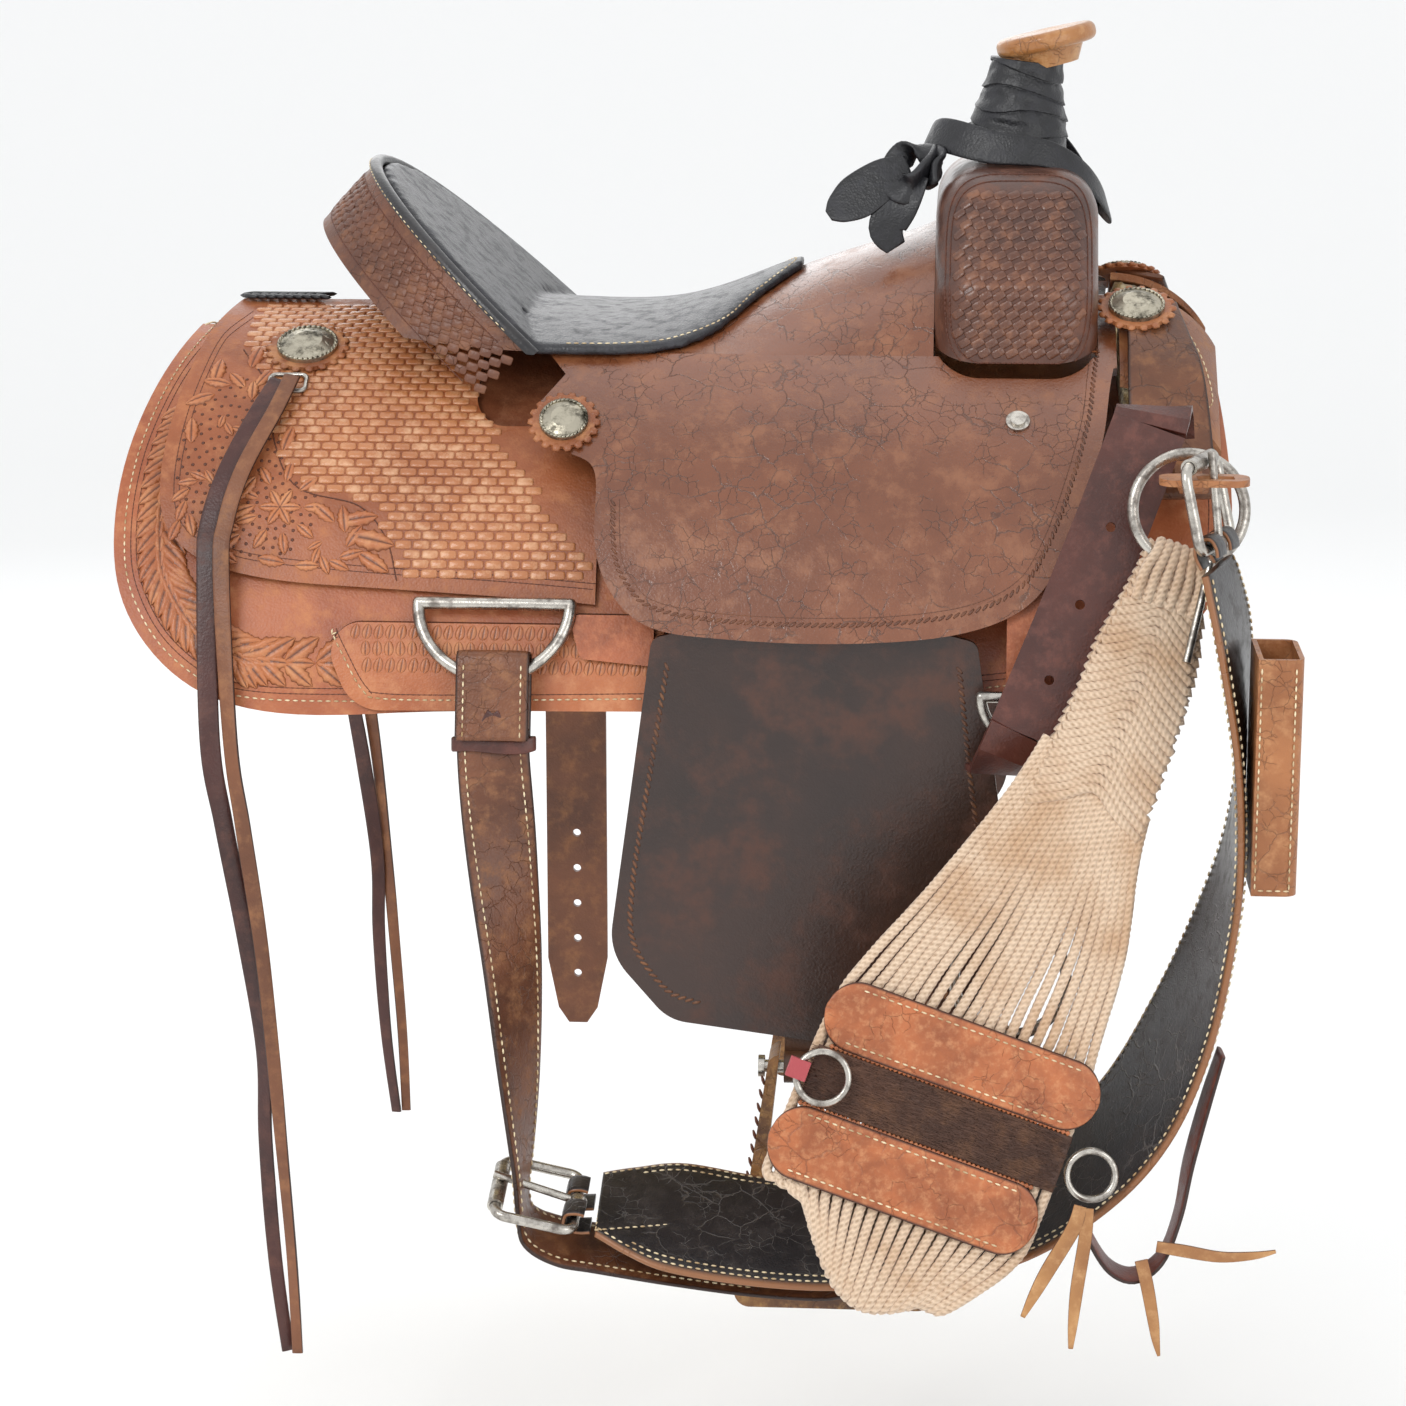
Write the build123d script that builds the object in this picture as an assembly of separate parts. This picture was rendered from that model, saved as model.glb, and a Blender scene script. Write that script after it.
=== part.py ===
from build123d import *
import math
import os

os.makedirs("parts", exist_ok=True)

# Western roping saddle, off side toward -Y, horn toward +X, +Z up, millimetres.
# Origin: underside of the fleece on the centre line (the ridge a rack carries).

# ---- driving sizes ---------------------------------------------------------
SKIRT_LENGTH = 711.0        # overall length of the skirts, 28 inches
SKIRT_REAR = -346.0         # X of the rearmost point of the skirts
SKIRT_R = 290.0             # outer radius of the skirt drape
SKIRT_C = (60.3, -264.7)    # Y, Z centre of the right skirt drape
SKIRT_T = 4.7               # skirt leather
FLEECE_T = 13.5             # fleece and lining
SKIRT_LOW = -197.0          # Z of the lower skirt edge
REAR_R = 256.0              # outer radius of the rear jockey
REAR_C = (40.0, -216.3)
REAR_T = 4.5
SEAT_R = 307.0              # outer radius of the seat jockey
SEAT_C = (48.0, -238.2)
SEAT_T = 4.0
BAR_INNER = 60.0            # half width of the channel between the bars
BAR_OUTER = 150.0
FORK_X0 = 176.0
FORK_X1 = 280.0
FORK_HALF = 138.0           # half width over the swells
FORK_TOP = 132.0
GULLET_HALF = 62.0
NECK_BASE = (227.0, 0.0, 132.0)
NECK_TOP = (234.0, 0.0, 200.0)
NECK_R = 18.0
WRAP_R0 = 34.0
WRAP_R1 = 27.5
CAP_R = 33.0
CAP_TILT = 13.0
CAP_C = (246.0, 0.0, 211.0)
CANTLE_HALF = 140.0         # half width of the cantle arch
CANTLE_RISE = 187.0         # length of the cantle along its own slope
CANTLE_FOOT = (-62.0, 2.0)  # X, Z where the cantle leaves the seat
CANTLE_LEAN = 43.0          # slope above horizontal, degrees
CANTLE_DEEP = 52.0
PAD_T = 5.0
FENDER_Y = -228.5           # middle plane of the fender
FENDER_T = 4.5
FENDER_W = 206.0            # fender width where it leaves the jockey
FENDER_X = 105.0
PIVOT = (105.0, -212.0, -88.0)
STIRRUP_W = 127.0
STIRRUP_H = 155.0
TREAD_DEEP = 46.0
BOLT = (121.0, -228.5, -424.0)
FLANK_W = 102.0             # flank cinch width, 4 inches
FLANK_T = 6.0
STRAP_T = 4.5
BILLET_W = 46.0
DEE_R = 48.0
DEE_ROD = 8.0
CINCH_W = 172.0             # width over the centre of the corded cinch
CINCH_TOP = (309.0, -262.0, -52.0)
CINCH_LOW = (172.0, -392.0, -583.0)
CORD_D = 6.5
RING_R = 34.0
RING_ROD = 7.0
HOLE_D = 6.0
GAP = 0.3


# ---- small tools ------------------------------------------------------------
def save(name, *solids):
    shape = solids[0] if len(solids) == 1 else Compound(children=list(solids))
    export_step(shape, f"parts/{name}.step")
    return shape


def flip(shape):
    return mirror(shape, about=Plane.XZ)


def barrel(centre, radius, x0, x1):
    middle = Pos((x0 + x1) / 2, centre[0], centre[1])
    return middle * Rot(0, 90, 0) * Cylinder(radius, x1 - x0)


def rounded(corners):
    """Closed outline; each corner is (a, b, fillet radius)."""
    face = make_face(Polyline(*[(c[0], c[1]) for c in corners], close=True))
    for a, b, r in corners:
        if r > 0:
            corner = min(face.vertices(), key=lambda v: (v.X - a) ** 2 + (v.Y - b) ** 2)
            face = fillet(corner, r)
    return face


def side_block(corners, y0, y1):
    """Prism of an X-Z outline between two Y planes on the right side."""
    block = extrude(Plane.XZ * rounded(corners), amount=y1 - y0)
    return Pos(0, -y0, 0) * block


def top_block(corners, z0, z1):
    return Pos(0, 0, z0) * extrude(rounded(corners), amount=z1 - z0)


def curved_block(curve, closing, y0, y1):
    """Prism between two Y planes; a spline edge closed by straight runs."""
    face = make_face([Spline(*curve), Polyline(curve[-1], *closing, curve[0])])
    return Pos(0, -y0, 0) * extrude(Plane.XZ * face, amount=y1 - y0)


def drape(centre, r_in, r_out, corners):
    shell = barrel(centre, r_out, -400, 400) - barrel(centre, r_in, -401, 401)
    return shell & side_block(corners, 0, 420)


def curved_drape(centre, r_in, r_out, curve, closing):
    shell = barrel(centre, r_out, -400, 400) - barrel(centre, r_in, -401, 401)
    return shell & curved_block(curve, closing, 0, 420)


def on_drape(centre, radius, x, tilt):
    a = math.radians(tilt)
    place = (x, centre[0] - radius * math.sin(a), centre[1] + radius * math.cos(a))
    return place, (0, -math.sin(a), math.cos(a))


def unit(v):
    n = math.sqrt(sum(c * c for c in v))
    return tuple(c / n for c in v)


def ribbon(stations, thick, ruled=True):
    """Strap lofted through (x, y, z, width, side direction) stations."""
    faces = []
    for i, (x, y, z, w, side) in enumerate(stations):
        a = stations[max(i - 1, 0)]
        b = stations[min(i + 1, len(stations) - 1)]
        t = unit((b[0] - a[0], b[1] - a[1], b[2] - a[2]))
        d = sum(t[k] * side[k] for k in range(3))
        s = unit(tuple(side[k] - d * t[k] for k in range(3)))
        faces.append(Plane(origin=(x, y, z), x_dir=s, z_dir=t) * Rectangle(w, thick))
    return loft(faces, ruled=ruled)


def rod_frame(plane, w, h, corner, rod):
    path = (plane * RectangleRounded(w, h, corner)).wire()
    disc = Plane(origin=path @ 0, z_dir=path % 0) * Circle(rod / 2)
    return sweep(disc, path=path)


def rod_dee(plane, radius, rod):
    """Half ring below a straight bar, in the plane's own X-Y."""
    arc = Rot(0, 0, 180) * Torus(radius, rod / 2, major_angle=180, align=None)
    bar = Rot(0, 90, 0) * Cylinder(rod / 2, 2 * radius)
    ends = [Pos(s * radius, 0, 0) * Sphere(rod / 2) for s in (-1, 1)]
    return plane * (arc + bar + ends[0] + ends[1])


def hoop(place, normal, radius, rod):
    return Plane(origin=place, z_dir=normal) * Torus(radius, rod / 2)


# ---- skirts, fleece, bars ---------------------------------------------------
rear = SKIRT_REAR
front = SKIRT_REAR + SKIRT_LENGTH
low = SKIRT_LOW
skirt_curve = [
    (rear + 34, 30), (rear + 18, 6), (rear + 8, -20), (rear + 1, -53), (rear, -92),
    (rear + 7, -127), (rear + 29, -162), (rear + 62, low + 10), (rear + 97, low - 0.5),
    (rear + 190, low - 1), (0, low + 2), (130, low + 7), (215, low + 13), (front - 78, low + 25),
    (front - 32, -146), (front - 7, -114), (front, -79), (front - 2, -35), (front - 7, -1),
    (front - 16, 30)]
skirt_close = [(front - 16, 60), (rear + 34, 60)]
notch = top_block([(172, -46, 0), (172, 46, 0), (420, 46, 0), (420, -46, 0)], -60, 60)
notch_cut = notch + top_block([(120, -30, 28), (120, 30, 28), (200, 30, 0), (200, -30, 0)], -60, 60)
skirt_right = curved_drape(SKIRT_C, SKIRT_R - SKIRT_T, SKIRT_R, skirt_curve, skirt_close)
skirt_right = skirt_right - notch_cut
fleece_out = SKIRT_R - SKIRT_T - GAP
fleece_right = curved_drape(SKIRT_C, fleece_out - FLEECE_T, fleece_out, skirt_curve, skirt_close)
fleece_right = fleece_right - notch_cut
save("skirt_right", skirt_right)
save("skirt_left", flip(skirt_right))

bar_plan = top_block([
    (-285, -BAR_OUTER + 12, 30), (-285, -BAR_INNER, 25), (290, -BAR_INNER, 25),
    (300, -BAR_OUTER, 40)], -120, 80)
bar_top = barrel(REAR_C, REAR_R - REAR_T - GAP, -400, 400)
bar_right = (bar_top - barrel(SKIRT_C, SKIRT_R + GAP, -401, 401)) & bar_plan
save("tree_bars", bar_right, flip(bar_right))

# ---- rear jockeys -----------------------------------------------------------
rear_curve = [
    (-286, 40), (-302, 24), (-310, 0), (-315.5, -30), (-317, -61), (-312, -84), (-297, -101),
    (-261, -115), (-190, -122), (-94, -127), (-34, -131)]
rear_close = [(-34, 60), (-286, 60)]
rear_jockey = curved_drape(REAR_C, REAR_R - REAR_T, REAR_R, rear_curve, rear_close)
rear_jockey = rear_jockey - barrel(SKIRT_C, SKIRT_R + GAP, -401, 401)
rear_jockey = rear_jockey - top_block([
    (-118, -134, 20), (-118, 134, 20), (60, 134, 0), (60, -134, 0)], -60, 90)

# ---- cantle -----------------------------------------------------------------
lean = math.radians(CANTLE_LEAN)
rise = (-math.cos(lean), 0, math.sin(lean))
back = (-math.sin(lean), 0, -math.cos(lean))
cantle_plane = Plane(origin=(CANTLE_FOOT[0], 0, CANTLE_FOOT[1]), x_dir=(0, -1, 0), z_dir=back)


def arch(half, tall, d0, d1):
    """Half-ellipse slab standing on the cantle foot, d0..d1 behind its face."""
    face = Ellipse(half, tall) & (Pos(0, tall / 2 + 1) * Rectangle(3 * half, tall + 2))
    return cantle_plane * (Pos(0, 0, d0) * extrude(face, amount=d1 - d0))


def cantle_up(shape):
    """True when the plane's own Y runs up the slope."""
    return shape.center().Z > CANTLE_FOOT[1]


probe = arch(CANTLE_HALF, CANTLE_RISE, 0, CANTLE_DEEP)
if not cantle_up(probe):
    cantle_plane = Plane(origin=(CANTLE_FOOT[0], 0, CANTLE_FOOT[1]), x_dir=(0, 1, 0), z_dir=back)
under = barrel(REAR_C, REAR_R + GAP, -401, 401)
under_all = under + flip(under)
wood = arch(CANTLE_HALF - 6, CANTLE_RISE - 6, 2, CANTLE_DEEP - 6) - under_all
cover = arch(CANTLE_HALF, CANTLE_RISE, 2, CANTLE_DEEP)
cover = cover - arch(CANTLE_HALF - 6, CANTLE_RISE - 6, 1, CANTLE_DEEP - 6) - under_all
save("tree_cantle", wood)
save("cantle_back", cover)
rim_path = Wire([cantle_plane * EllipticalCenterArc((0, 0), CANTLE_HALF - 1, CANTLE_RISE - 1,
                                                    start_angle=7, arc_size=166)])
rim_disc = Plane(origin=rim_path @ 0, z_dir=rim_path % 0) * Circle(4.5)
rim = sweep(rim_disc, path=rim_path)
rim_keep = cantle_plane * (Pos(0, CANTLE_RISE / 2, -9) * Box(400, CANTLE_RISE + 60, 22))
cantle_roll = (rim & rim_keep) - arch(CANTLE_HALF + 9, CANTLE_RISE + 9, 2, 60) - under_all
save("cantle_roll", cantle_roll)

rear_right = rear_jockey & side_block([(-420, -200, 0), (-420, 90, 0), (420, 90, 0), (420, -200, 0)], GAP, 400)
save("rear_jockey_right", rear_right)
save("rear_jockey_left", flip(rear_right))
lace = Pos(-262, 0, 40.4) * Box(58, 30, 4)
save("jockey_lace", lace)

# ---- seat leather, pad, strainer -------------------------------------------
crest = [(-84, 30.0), (-36, 27.5), (20, 36.0), (88, 61.5), (140, 79.0), (FORK_X0 - GAP, 92.0)]
EDGE_Y = 122.0
edge_z = SEAT_C[1] + math.sqrt(SEAT_R ** 2 - (EDGE_Y + SEAT_C[0]) ** 2)


def slice_face(x, zc, ye, ze, thick):
    top = ThreePointArc((x, -ye, ze), (x, 0, zc), (x, ye, ze))
    low = ThreePointArc((x, -ye, ze - thick), (x, 0, zc - thick), (x, ye, ze - thick))
    one = Line((x, -ye, ze), (x, -ye, ze - thick))
    two = Line((x, ye, ze), (x, ye, ze - thick))
    return Face(Wire([top, two, low, one]))


def seat_slab(offset, thick, half, stations):
    return loft([slice_face(x, z + offset, half, edge_z + offset, thick) for x, z in stations])


fork_corners = [
    (-FORK_HALF, -60, 0), (-FORK_HALF, 62, 34), (-92, FORK_TOP, 40), (92, FORK_TOP, 40),
    (FORK_HALF, 62, 34), (FORK_HALF, -60, 0)]


def fork_block(shrink):
    pts = []
    for y, z, r in fork_corners:
        ny = y + shrink if y < 0 else y - shrink
        nz = z - shrink if z > 0 else z
        pts.append((ny, nz, max(r - shrink, 1) if r else 0))
    length = FORK_X1 - FORK_X0 - 2 * shrink
    block = extrude(Plane.YZ * rounded(pts), amount=length)
    block = Pos(FORK_X0 + shrink, 0, 0) * block
    tall = block.edges().filter_by(GeomType.LINE).filter_by(Axis.Z)
    return fillet(tall, 30 - shrink)


gullet = [
    (-GULLET_HALF, -60, 0), (-GULLET_HALF, 74, 52), (GULLET_HALF, 74, 52), (GULLET_HALF, -60, 0)]
gullet_cut = Pos(100, 0, 0) * extrude(Plane.YZ * rounded(gullet), amount=260)
rest = barrel(REAR_C, REAR_R - REAR_T, 100, 400)
fork_rest = rest + flip(rest)
fork_out = fork_block(0)
fork_in = fork_block(4.0)
fork_cover = fork_out - fork_in - gullet_cut - fork_rest
fork_wood = fork_in - gullet_cut - fork_rest
save("tree_fork", fork_wood)

seat_curve = [
    (-80, 30), (-78, 2), (-73, -14), (-66, -30), (-50, -38), (-37, -44), (-33, -64), (-30, -98),
    (-20, -118), (-2, -134), (35, -142), (97, -145), (158, -143), (207, -135), (240, -118),
    (258, -92), (272, -58), (284, -20), (288, 5), (293, 26), (286, 50)]
seat_close = [(286, 70), (-80, 70)]
flap = curved_drape(SEAT_C, SEAT_R - SEAT_T, SEAT_R, seat_curve, seat_close)
flap = flap & side_block([(-400, -200, 0), (-400, 60, 0), (400, 60, 0), (400, -200, 0)], EDGE_Y, 400)
front_lip = drape(SEAT_C, SEAT_R - SEAT_T, SEAT_R, [
    (FORK_X1 + 0.5, -20, 0), (FORK_X1 + 0.5, 50, 0), (292, 50, 6), (292, -20, 6)])
front_lip = front_lip & side_block([(270, -60, 0), (270, 80, 0), (300, 80, 0), (300, -60, 0)], 55, 130)
fork_room = fork_block(-GAP)
cantle_room = arch(CANTLE_HALF + 20, CANTLE_RISE + 20, -PAD_T - 2 * GAP, 140)
upper = seat_slab(0, SEAT_T, EDGE_Y, crest)
seat_leather = upper + flap + flip(flap) + front_lip + flip(front_lip)
seat_leather = seat_leather - fork_room - cantle_room
seat_leather = Compound(children=[s for s in seat_leather.solids() if s.volume > 500])
save("seat_leather", seat_leather)

pad_stations = [(-96, 30.5 + GAP)] + [(x, z + GAP) for x, z in crest[:4]]
pad_seat = seat_slab(PAD_T, PAD_T, 130.0, pad_stations)
pad_plan = top_block([
    (-110, -131, 0), (-110, 131, 0), (-30, 131, 0), (8, 122, 60), (34, 101, 60),
    (60, 55, 60), (87, 16, 10), (87, -16, 10), (60, -55, 60), (34, -101, 60), (8, -122, 60),
    (-30, -131, 0)], -60, 120)
pad_back = arch(CANTLE_HALF - 7, CANTLE_RISE - 7, -PAD_T, 2 - GAP)
behind = arch(CANTLE_HALF + 40, CANTLE_RISE + 60, 2 - GAP, 200)
pad_back = pad_back - under_all
seat_pad = (pad_seat & pad_plan) - behind
seat_pad = seat_pad + (pad_back & top_block([
    (-260, -160, 0), (-260, 160, 0), (-66, 160, 0), (-66, -160, 0)], 8, 200))
seat_pad = seat_pad - rim
seat_pad = Compound(children=[s for s in seat_pad.solids() if s.volume > 500])
save("seat_pad", seat_pad)

strainer = seat_slab(-SEAT_T - GAP, 2.0, 108.0, [(x, z) for x, z in crest[1:]])
strainer = strainer - fork_room - cantle_room - bar_right - flip(bar_right) - seat_leather
strainer = Compound(children=[s for s in strainer.solids() if s.volume > 500])
save("ground_seat", strainer)
save("fork_cover", fork_cover)

# ---- horn -------------------------------------------------------------------
axis_dir = unit(tuple(NECK_TOP[k] - NECK_BASE[k] for k in range(3)))
neck_len = math.dist(NECK_BASE, NECK_TOP)
neck_plane = Plane(origin=NECK_BASE, x_dir=(0, 1, 0), z_dir=axis_dir)
foot = neck_plane * (Pos(0, 0, -12) * Cylinder(NECK_R, 24))
neck = neck_plane * (Pos(0, 0, neck_len / 2) * Cylinder(NECK_R, neck_len + 8))
tilt = math.radians(CAP_TILT)
cap_plane = Plane(origin=CAP_C, x_dir=(0, 1, 0), z_dir=(-math.sin(tilt), 0, math.cos(tilt)))
cap = cap_plane * fillet(Cylinder(CAP_R, 12).edges(), 5)
flare = cap_plane * (Pos(0, 2, -11) * Cone(20, CAP_R - 7, 12))
horn = neck + cap + flare
horn_hole = neck_plane * Cylinder(NECK_R + 0.1, 40)
horn = horn - fork_out
save("horn", horn)
wrap = neck_plane * (Pos(0, 0, 31) * Cone(WRAP_R0, WRAP_R1, 58))
wrap = wrap - neck_plane * (Pos(0, 0, 31) * Cylinder(NECK_R, 80)) - fork_out - flare - cap
save("horn_wrap", wrap)
band = extrude(Ellipse(58, 50), amount=20) - extrude(Ellipse(55, 47), amount=20)
band = Pos(232, -6, FORK_TOP + 0.2) * band
band = band - wrap
tail = Pos(172, -22, FORK_TOP + 7) * Rot(0, -8, 20) * Box(26, 18, 12)
tail = tail - (Pos(232, -6, FORK_TOP - 5) * extrude(Ellipse(58, 50), amount=40)) - fork_out
save("horn_band", band + tail)

# ---- rigging, dees ----------------------------------------------------------
plate_corners = [
    (-210, -143, 18), (-186, -196, 28), (10, -194, 0), (10, -143, 0)]
rigging = drape(SKIRT_C, SKIRT_R + 0.05, SKIRT_R + 4.2, plate_corners)
save("rigging_plates", rigging, flip(rigging))
dee_tilt = math.radians(62)
dee_plane = Plane(origin=(-97, -207.5, -130), x_dir=(1, 0, 0),
                  z_dir=(0, -math.sin(dee_tilt), math.cos(dee_tilt)))
rear_dee = rod_dee(dee_plane, DEE_R, DEE_ROD)
save("rear_dees", rear_dee, flip(rear_dee))
tab = drape(SKIRT_C, SKIRT_R + 4.5, SKIRT_R + 8.5, [
    (-50, -136, 5), (-42, -162, 5), (4, -166, 0), (4, -136, 0)])
tab = tab - rod_dee(dee_plane, DEE_R, DEE_ROD + 1)
save("rigging_tabs", tab, flip(tab))
front_plane = Plane(origin=(236, -239, -178), x_dir=(1, 0, 0), z_dir=(0, -1, 0.12))
front_dee = rod_dee(front_plane, 27, 7)
save("front_dees", front_dee, flip(front_dee))
strap = ribbon([
    (240, -239.2, -184, 32, (1, 0, 0)), (240, -237.5, -160, 32, (1, 0, 0)),
    (240, -233, -140, 32, (1, 0, 0)), (240, -222, -112, 32, (1, 0, 0)),
    (240, -206, -84, 32, (1, 0, 0)), (240, -184, -62, 32, (1, 0, 0))], 7.0)
strap = strap - front_dee - seat_leather - skirt_right
strap = max(strap.solids(), key=lambda piece: piece.volume)
save("front_rigging", strap, flip(strap))

# ---- fenders and stirrups ---------------------------------------------------
half = FENDER_W / 2
fender_face = [
    (FENDER_X - 30, -128, 4), (FENDER_X - half + 2, -146, 8), (-24, -350, 40),
    (14, -394, 30), (121, -408, 60), (196, -394, 40), (236, -350, 40),
    (FENDER_X + half - 2, -146, 8), (FENDER_X + 30, -128, 4)]
fender = side_block(fender_face, -FENDER_Y - FENDER_T / 2, -FENDER_Y + FENDER_T / 2)
fender_right = fender
lower = BOLT[2] + 8
leather = side_block([(88, -152, 0), (88, lower, 0), (154, lower, 0), (154, -152, 0)], 223.4, 225.9)
hang = ribbon([
    (PIVOT[0], PIVOT[1] - 0.6, PIVOT[2] - 5, 30, (1, 0, 0)), (PIVOT[0], -217.0, -106, 44, (1, 0, 0)),
    (PIVOT[0], -222.3, -122, 54, (1, 0, 0)), (PIVOT[0], -224.6, -153, 58, (1, 0, 0))], 2.5)
save("fender_right", fender_right)
save("fender_left", flip(fender_right))
eye = Pos(BOLT[0], BOLT[1], BOLT[2]) * Rot(0, 90, 0) * (Cylinder(10.5, 66) - Cylinder(4.0, 70))
leather_room = Pos(BOLT[0], BOLT[1], BOLT[2]) * Rot(0, 90, 0) * Cylinder(4.0, 70)
stirrup_leather = leather + hang + eye - leather_room
save("stirrup_leather_right", stirrup_leather)
save("stirrup_leather_left", flip(stirrup_leather))

top_w = 84.0
out_face = rounded([
    (-top_w / 2, 12, 8), (-STIRRUP_W / 2, -STIRRUP_H + 22, 12),
    (-STIRRUP_W / 2, -STIRRUP_H, 10), (STIRRUP_W / 2, -STIRRUP_H, 10),
    (STIRRUP_W / 2, -STIRRUP_H + 22, 12), (top_w / 2, 12, 8)])
in_face = rounded([
    (-top_w / 2 + 7, 18, 2), (-STIRRUP_W / 2 + 13, -STIRRUP_H + 28, 12),
    (-STIRRUP_W / 2 + 16, -STIRRUP_H + 13, 4), (STIRRUP_W / 2 - 16, -STIRRUP_H + 13, 4),
    (STIRRUP_W / 2 - 13, -STIRRUP_H + 28, 12), (top_w / 2 - 7, 18, 2)])
bow = extrude(Plane.XZ * (out_face - in_face), amount=TREAD_DEEP / 2, both=True)
taper = extrude(Plane.YZ * rounded([
    (-14, 20, 0), (-TREAD_DEEP / 2, -STIRRUP_H + 30, 30), (-TREAD_DEEP / 2, -STIRRUP_H - 5, 0),
    (TREAD_DEEP / 2, -STIRRUP_H - 5, 0), (TREAD_DEEP / 2, -STIRRUP_H + 30, 30), (14, 20, 0)]),
    amount=100, both=True)
bow = bow & taper
stirrup = Pos(*BOLT) * (bow - Rot(0, 90, 0) * Cylinder(4.0, 120))
save("stirrup_right", stirrup)
save("stirrup_left", flip(stirrup))
bolt = Rot(0, 90, 0) * (Cylinder(4.0, top_w + 14) + Pos(0, 0, 47.5) * Cylinder(7, 4)
                        + Pos(0, 0, -47.5) * Cylinder(7, 4))
save("stirrup_bolt_right", Pos(*BOLT) * bolt)
save("stirrup_bolt_left", flip(Pos(*BOLT) * bolt))

# ---- conchos, rosettes, screws ----------------------------------------------
def button(centre, radius, x, tilt_deg, size):
    """Scalloped leather washer and the domed metal button on it."""
    place, normal = on_drape(centre, radius, x, tilt_deg)
    plane = Plane(origin=place, x_dir=(1, 0, 0), z_dir=normal)
    washer = plane * (Pos(0, 0, 1.6) * Cylinder(size / 2 + 4.5, 3.0))
    dome = plane * (Pos(0, 0, 4.4) * Cylinder(size / 2, 2.6)
                    + Pos(0, 0, 7.0) * Cone(size / 2 - 1.5, size / 4, 2.6))
    return washer, dome


spots = [(REAR_C, REAR_R, -235, 27.0, 40.0), (SEAT_C, SEAT_R, -56, 45.0, 31.0),
         (SEAT_C, SEAT_R + 9.0, 305, 26.6, 36.0)]
made = [button(*spot) for spot in spots]
rosettes = [m[0] for m in made]
domes = [m[1] for m in made]
save("rosettes", *rosettes, *[flip(piece) for piece in rosettes])
save("conchos", *domes, *[flip(piece) for piece in domes])
screw_place, screw_normal = on_drape(SEAT_C, SEAT_R, 229.5, 44.1)
screw_plane = Plane(origin=screw_place, x_dir=(1, 0, 0), z_dir=screw_normal)
screw = screw_plane * (Pos(0, 0, 1.0) * Cylinder(7.5, 1.8) + Pos(0, 0, 2.8) * Cylinder(4.8, 1.9))
save("jockey_screws", screw, flip(screw))

# ---- front jockeys: leather rising over the withers, wool filling below it ---
def brow(x, inner_y, inner_z, mid_y, mid_z, outer_y, outer_z, floor):
    """Closed section at x; floor None gives a leather sheet, else a fill above it."""
    top = ThreePointArc((x, inner_y, inner_z), (x, mid_y, mid_z), (x, outer_y, outer_z))
    if floor is None:
        drop = SKIRT_T
        low_arc = ThreePointArc((x, inner_y, inner_z - drop), (x, mid_y, mid_z - drop),
                                (x, outer_y, outer_z - drop))
        one = Line((x, inner_y, inner_z), (x, inner_y, inner_z - drop))
        two = Line((x, outer_y, outer_z), (x, outer_y, outer_z - drop))
        return Face(Wire([top, two, low_arc, one]))
    base = Line((x, inner_y, floor), (x, outer_y, floor))
    one = Line((x, inner_y, inner_z), (x, inner_y, floor))
    two = Line((x, outer_y, outer_z), (x, outer_y, floor))
    return Face(Wire([top, two, base, one]))


brow_rows = [
    (294.0, 53.0, 38.5, 5.0), (318.0, 49.0, 33.0, -3.0), (342.0, 36.0, 17.0, -20.0),
    (359.0, 16.0, -8.0, -40.0)]
front_jockey = loft([brow(x, -50, a, -88, b, -132, c, None) for x, a, b, c in brow_rows])
drop = SKIRT_T + GAP
wool = loft([brow(x, -50, a - drop, -88, b - drop, -130, c - drop, -75) for x, a, b, c in brow_rows])
skirt_solid = barrel(SKIRT_C, SKIRT_R + GAP, -401, 401)
front_jockey = front_jockey - skirt_solid
wool = wool - skirt_solid - bar_right
wool = max(wool.solids(), key=lambda s: s.volume)
front_jockey = max(front_jockey.solids(), key=lambda s: s.volume)
save("front_jockeys", front_jockey, flip(front_jockey))
save("fleece", fleece_right, flip(fleece_right), wool, flip(wool))

# ---- latigo holders, stowed billets -----------------------------------------
holder = ribbon([
    (315, -76, 48.5, 34, (1, 0, -0.22)), (318, -104, 36, 40, (1, 0, -0.26)),
    (322, -132, 14.5, 48, (1, 0, -0.22)), (325, -160, -24, 52, (1, 0, -0.12)),
    (326, -184, -62, 54, (1, 0, 0))], 3.6)
holder = holder - front_jockey - skirt_solid - rosettes[2] - domes[2]
holder = max(holder.solids(), key=lambda s: s.volume)
save("latigo_holders", holder, flip(holder))

lay = (0.05, 0.94, 0.33)
stow = [
    (236, -264, -196, BILLET_W, (1, 0, 0)), (262, -249, -133, BILLET_W, (1, 0, 0)),
    (287, -232, -70, BILLET_W, (1, 0, 0)), (309, -214, -12, BILLET_W, (1, 0, 0))]
outer_run = ribbon(stow, STRAP_T)
bend = ribbon([
    (309, -214, -12, BILLET_W, (1, 0, 0)), (311, -210, -6, BILLET_W, (1, 0, 0)),
    (312, -204, -3, BILLET_W, (1, 0, 0)), (313, -198, -5, BILLET_W, (1, 0, 0)),
    (314, -194, -11, BILLET_W, (1, 0, 0)), (315, -192.5, -24, BILLET_W, (1, 0, 0))], STRAP_T)
foot_run = ribbon([
    (236, -264, -196, BILLET_W, (1, 0, 0)), (228, -262, -212, 44, (1, 0, 0)),
    (222, -252, -222, 42, (1, 0, 0)), (219, -240, -220, 40, (1, 0, 0))], STRAP_T)
billet = outer_run + bend + foot_run
billet = billet - rod_dee(front_plane, 27, 8.4)
hole_places = []
for x, y, z in [(286, -232.6, -72), (268, -245.4, -118), (250, -256.4, -163)]:
    hole_plane = Plane(origin=(x, y, z), z_dir=(0.0, -0.94, 0.28))
    billet = billet - hole_plane * Cylinder(HOLE_D / 2, 24)
    hole_places.append((x, y, z))
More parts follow.
